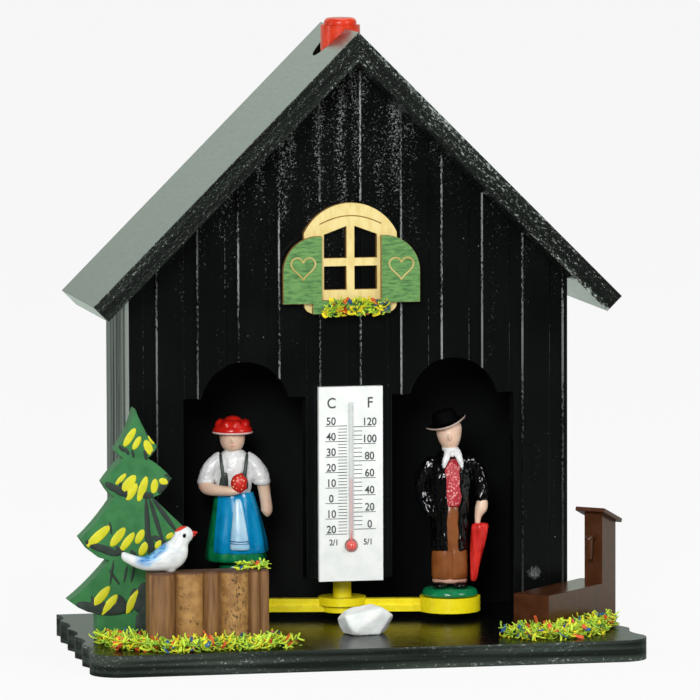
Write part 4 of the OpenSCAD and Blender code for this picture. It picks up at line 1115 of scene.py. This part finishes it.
def dab(name, x0, z0, x1, z1, wide, lift):
    """One brush stroke on the fir's face from (x0, z0) to (x1, z1), in mm, domed by lift."""
    bpy.ops.object.select_all(action="DESELECT")
    bpy.ops.mesh.primitive_uv_sphere_add(segments=20, ring_count=8, radius=1.0)
    made = bpy.context.object
    made.name = name
    length = math.hypot(x1 - x0, z1 - z0)
    lean = math.atan2(z1 - z0, x1 - x0)
    made.data.transform(
        Matrix.Translation(((x0 + x1) / 2 * mm, fir_low.y * mm, (z0 + z1) / 2 * mm))
        @ Matrix.Rotation(-lean, 4, "Y")
        @ Matrix.Diagonal((length / 2 * mm, lift * mm, wide / 2 * mm, 1))
    )
    bpy.ops.object.shade_smooth()
    return made


yellow_strokes = [
    (325, 245, 385, 150, 38), (372, 262, 411, 193, 32), (434, 212, 466, 292, 42), (450, 180, 480, 236, 24),
    (282, 440, 336, 384, 27), (314, 478, 384, 394, 50), (338, 524, 390, 436, 44), (397, 532, 441, 400, 42),
    (474, 492, 486, 414, 38), (504, 420, 553, 443, 36), (132, 758, 254, 652, 50), (254, 760, 329, 664, 46),
    (303, 786, 377, 690, 40), (385, 750, 423, 676, 40), (404, 812, 441, 740, 42), (484, 778, 515, 728, 32),
    (538, 726, 576, 700, 28), (158, 1072, 250, 966, 46), (202, 1114, 290, 1010, 46),
    (332, 1114, 392, 986, 42),
]
dark_strokes = [
    (296, 232, 330, 272, 20), (330, 250, 352, 288, 18), (366, 262, 376, 304, 16), (432, 262, 440, 318, 20),
    (462, 258, 480, 318, 22), (432, 150, 486, 234, 24), (228, 428, 290, 474, 36), (262, 446, 336, 498, 40),
    (330, 470, 350, 520, 30), (400, 494, 476, 504, 36), (500, 490, 560, 414, 40), (530, 396, 572, 408, 16),
    (300, 410, 312, 470, 16), (437, 512, 450, 812, 28), (452, 510, 526, 754, 24), (466, 508, 592, 692, 26),
    (124, 728, 226, 784, 36), (170, 752, 300, 806, 42), (250, 630, 262, 700, 12), (280, 760, 330, 816, 28),
    (356, 780, 388, 822, 22), (440, 690, 470, 800, 44), (470, 710, 560, 780, 36), (246, 880, 300, 960, 14),
    (250, 960, 270, 830, 14), (322, 950, 338, 860, 14), (358, 950, 378, 860, 14), (76, 1052, 200, 1086, 46),
    (90, 1066, 330, 1098, 66), (150, 1064, 370, 1092, 58), (284, 1012, 330, 1098, 52),
    # The next four strokes darken the trunk's right half, partly dark paint and partly painted shade.
    (372, 980, 396, 1104, 60), (424, 950, 434, 1130, 92), (420, 1080, 430, 1260, 92),
    (398, 1110, 404, 1250, 44), (156, 1010, 172, 1090, 18), (206, 1060, 222, 1108, 16),
]
# A deeper copy of the fir trims each stroke at the sawn outline.
sawn_outline = nodes["fir_tree"].copy()
sawn_outline.data = sawn_outline.data.copy()
bpy.context.scene.collection.objects.link(sawn_outline)
fir_back = Matrix.Translation((0, fir_high.y * mm, 0))
sawn_outline.data.transform(fir_back @ Matrix.Diagonal((1, 1.5, 1, 1)) @ fir_back.inverted())
trim = {"operation": "INTERSECT", "object": sawn_outline, "solver": "EXACT"}
for tint, paint, strokes, lift in (
    ("dark", fir_dark, dark_strokes, 0.12), ("yellow", fir_yellow, yellow_strokes, 0.17),
):
    dabs = []
    for k, (x0, y0, x1, y1, wide) in enumerate(strokes):
        stroke = dab("fir_%s_stroke_%d" % (tint, k), *on_fir(x0, y0), *on_fir(x1, y1), wide * step_across, lift)
        dabs.append(finish_with(stroke, "BOOLEAN", **trim))
    set_down([join("fir_%s_strokes" % tint, dabs)], paint, "house")
bpy.data.objects.remove(sawn_outline)

# The palisade is a strip of wood moulding, bark brown on its narrow ribs and rubbed down to speckled
# tan on the two wide ones.
bark, tree, shader = new_finish("rubbed_bark_stain")
place = add(tree, "TexCoord").outputs["Object"]
spot = add(tree, "SeparateXYZ", (place,)).outputs
log_low, log_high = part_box("log_palisade")
across = add(tree, "MapRange", {"Value": spot["X"], "From Min": log_low.x, "From Max": log_high.x})
kept, gone = "#000000", "#FFFFFF"
rub = add(tree, "ValToRGB", (across,), [
    (0.0, kept), (0.216, kept), (0.25, gone), (0.43, gone), (0.462, kept), (0.58, kept), (0.61, gone),
    (0.81, gone), (0.835, kept),
])
long_grain = add(tree, "Mapping", {"Vector": place, "Scale": (1.0, 1.0, 0.1)})
fibre = add(tree, "TexNoise", {"Vector": long_grain, "Scale": grain_of(1.11), "Detail": 4.0})
brown = add(tree, "ValToRGB", (fibre,), [(0.3, "#684524"), (0.7, "#946B40")])
cloud = add(tree, "TexNoise", {"Vector": place, "Scale": grain_of(3.03), "Detail": 3.0})
tan = add(tree, "ValToRGB", (cloud,), [(0.3, "#8C6230"), (0.65, "#B4894E")])
upright = add(tree, "Mapping", {"Vector": place, "Scale": (1.0, 1.0, 0.6)})
pit = add(tree, "TexNoise", {"Vector": upright, "Scale": grain_of(0.667), "Detail": 3.0, "Roughness": 0.7})
pit = add(tree, "MapRange", {"Value": pit, "From Min": 0.53, "From Max": 0.62})
fleck = add(tree, "TexNoise", {"Vector": place, "Scale": grain_of(3.85), "Detail": 2.0})
from_x, to_x = log_low.x + 16.5 * mm, log_low.x + 22.5 * mm
many = add(tree, "MapRange", {
    "Value": spot["X"], "From Min": from_x, "From Max": to_x, "To Min": 0.58, "To Max": 0.44,
})
pitted = add(tree, "Math", (fleck, many), operation="GREATER_THAN")
pitted = add(tree, "Math", (pit, pitted), operation="MULTIPLY")
speckled = add(tree, "Mix", (pitted, tan, linear("#3F2C1A")), data_type="RGBA")
ribs = add(tree, "Mix", (rub, brown, speckled), data_type="RGBA")
top_edge = add(tree, "MapRange", {
    "Value": spot["Z"], "From Min": log_high.z - 0.9 * mm, "From Max": log_high.z - 0.3 * mm,
})
stained = add(tree, "Mix", (top_edge, ribs, linear("#5B3B26")), data_type="RGBA")
bevel = add(tree, "Bevel", {"Radius": 0.5 * mm}, samples=6)
bump = add(tree, "Bump", {"Strength": 0.7, "Distance": 0.15 * mm, "Height": fibre, "Normal": bevel})
wire(tree, shader, {"Base Color": stained, "Normal": bump, "Roughness": 0.55})
dress("log_palisade", bark)

# The bird is a small cast figure, white with a blue wing and tail, a red cap and beak and black
# eyes, glued to the left end of the logs.
low, high = (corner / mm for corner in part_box("bird"))
perch = Vector((-62.75, (low.y + high.y) / 2, low.z))
body = loft("bird_body", [
    (-14.4, 0.8, 0.7, 5.2), (-13.9, 1.5, 1.3, 5.1), (-11.6, 1.75, 1.6, 3.9), (-9.2, 1.9, 1.8, 2.9),
    (-7.0, 2.1, 2.2, 2.5), (-5.0, 2.7, 2.6, 2.9), (-3.0, 3.7, 3.0, 3.8), (-0.8, 4.4, 3.3, 4.5),
    (1.6, 4.8, 3.3, 5.1), (3.6, 4.4, 3.1, 5.6), (5.1, 3.3, 2.5, 6.2), (6.0, 1.6, 1.4, 6.5),
], 32)
tail_to_beak = Matrix(((0, 0, 1, 0), (0, 1, 0, 0), (1, 0, 0, 0), (0, 0, 0, 1)))
body.data.transform(tail_to_beak)
head = ball("bird_head", 4.7, 0, 11.0, 2.9, 2.5, 2.7, 14)
neck = [(1.8, 0, 5.6, 3.2), (2.9, 0, 7.6, 3.0), (4.0, 0, 9.8, 2.7), (4.6, 0, 10.8, 2.3)]
foot = ball("bird_foot", 0.6, 0, 0.6, 1.7, 1.5, 1.0, 8)
bird = fuse("bird_casting", [body, head, limb("bird_neck", neck, 12), foot], 0.28, 6)

plumage, tree, shader = new_finish("bird_hand_paint")
place = add(tree, "TexCoord").outputs["Object"]
spot = add(tree, "SeparateXYZ", (add(tree, "Mapping", {"Vector": place, "Location": -perch * mm}),)).outputs
along = add(tree, "Mapping", {"Vector": place, "Scale": (0.35, 1.0, 1.0)})
brush = add(tree, "TexNoise", {"Vector": along, "Scale": grain_of(1.25), "Detail": 3.0})
rise = add(tree, "MapRange", {
    "Value": spot["X"], "From Min": -6.4 * mm, "From Max": -0.4 * mm, "To Min": 4.5 * mm, "To Max": 9.6 * mm,
})
over = add(tree, "Math", (spot["Z"], rise), operation="SUBTRACT")
frayed = add(tree, "Math", (brush, 3.6 * mm, over), operation="MULTIPLY_ADD")
wing = add(tree, "MapRange", {"Value": frayed, "From Min": -1.5 * mm, "From Max": 0.3 * mm})
ahead = add(tree, "MapRange", {
    "Value": spot["X"], "From Min": -1.6 * mm, "From Max": 0.4 * mm, "To Min": 1.0, "To Max": 0.0,
})
aft = add(tree, "MapRange", {"Value": spot["X"], "From Min": -11.0 * mm, "From Max": -8.4 * mm})
for end in (ahead, aft):
    wing = add(tree, "Math", (wing, end), operation="MULTIPLY")
white = add(tree, "ValToRGB", (brush,), [(0.3, "#CFD6D9"), (0.6, "#E6E9E6")])
blue = add(tree, "ValToRGB", (brush,), [(0.38, "#2C77B5"), (0.62, "#86BBDD")])
winged = add(tree, "Mix", (wing, white, blue), data_type="RGBA")
cap = add(tree, "Math", (spot["X"], -0.45, spot["Z"]), operation="MULTIPLY_ADD")
cap = add(tree, "MapRange", {"Value": cap, "From Min": 10.9 * mm, "From Max": 11.1 * mm})
fore = add(tree, "Math", (spot["X"], 0.0), operation="GREATER_THAN")
cap = add(tree, "Math", (cap, fore), operation="MULTIPLY")
capped = add(tree, "Mix", (cap, winged, linear("#CF3A2A")), data_type="RGBA")
bump = add(tree, "Bump", {"Strength": 0.3, "Distance": 0.08 * mm, "Height": brush})
wire(tree, shader, {"Base Color": capped, "Normal": bump, "Roughness": 0.32})
set_down([bird], plumage, "house", perch)
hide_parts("bird")
beak = [
    limb("bird_beak_upper", [(6.4, 0, 11.3, 1.1), (7.6, 0, 11.5, 0.75), (8.9, 0, 11.6, 0.25)], 8),
    limb("bird_beak_lower", [(6.3, 0, 10.4, 0.9), (7.3, 0, 10.6, 0.6), (8.3, 0, 10.9, 0.2)], 8),
]
set_down(beak, moulded("bird_beak_red", "#CC3126", "#AC2018", 0.35), "house", perch)
eyes = [
    ball("bird_eye_" + side, 4.5, y, 11.0, 0.55, 0.3, 0.7, 8)
    for side, y in (("front", -2.35), ("back", 2.35))
]
set_down(eyes, shoe_black, "house", perch)

# The pebble is a white quartz chip, broken along flat faces and worn round at its corners. It lies
# loose in front of the thermometer.
bpy.ops.object.select_all(action="DESELECT")
bpy.ops.mesh.primitive_ico_sphere_add(subdivisions=2, radius=1.0)
pebble = bpy.context.object
pebble.name = "garden_pebble"
bpy.ops.object.mode_set(mode="EDIT")
for facing, reach in (
    ((-0.95, -0.2, -0.25), 0.72), ((0.9, -0.3, -0.4), 0.74), ((-0.2, -0.9, 0.3), 0.7),
    ((-0.3, -0.15, 1.0), 0.56), ((-0.75, 0.0, 0.6), 0.74), ((0.7, 0.1, 0.75), 0.8),
    ((0.1, 0.9, 0.3), 0.8), ((0.3, -0.95, -0.2), 0.72), ((0.0, 0.0, -1.0), 0.62),
):
    bpy.ops.mesh.select_all(action="SELECT")
    unit = Vector(facing).normalized()
    bpy.ops.mesh.bisect(plane_co=unit * reach, plane_no=unit, clear_outer=True, use_fill=True)
bpy.ops.mesh.select_all(action="SELECT")
bpy.ops.mesh.normals_make_consistent(inside=False)
bpy.ops.object.mode_set(mode="OBJECT")
low, high = (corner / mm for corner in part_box("pebble"))
cut_low = Vector([min(v.co[i] for v in pebble.data.vertices) for i in range(3)])
cut_high = Vector([max(v.co[i] for v in pebble.data.vertices) for i in range(3)])
for v in pebble.data.vertices:
    share = [(v.co[i] - cut_low[i]) / (cut_high[i] - cut_low[i]) for i in range(3)]
    v.co = Vector([(low[i] + share[i] * (high[i] - low[i])) * mm for i in range(3)])
finish_with(pebble, "REMESH", mode="VOXEL", voxel_size=0.35 * mm, use_smooth_shade=True)
finish_with(pebble, "SMOOTH", factor=0.5, iterations=16)
ripple(pebble, 3.0, 0.5)
set_down([pebble], moulded("white_quartz", "#F1F4F1", "#E3E8E5", 0.5, 1.67, 0.1, 0.3), "house")
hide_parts("pebble")

# The trough and its pump post are one brown polystyrene moulding, with a swelling spout and the
# cap glued on.
brown = moulded("brown_polystyrene", "#4E2B18", "#412310", 0.22, 0.833, 0.02, shine=0.33)
dress("water_trough", brown)
dress("post_cap", brown)
spout = limb("pump_spout", [
    (34.2, 3.1, 25.6, 0.9), (32.6, 3.1, 26.3, 1.1), (31.2, 3.1, 26.1, 1.2), (31.3, 3.1, 23.6, 1.1),
    (31.5, 3.1, 21.4, 0.95), (31.6, 3.1, 19.1, 0.8),
], 12)
set_down([spout], brown, "house", (trough_x, trough_y, board_top), trough_turn)

low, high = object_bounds()
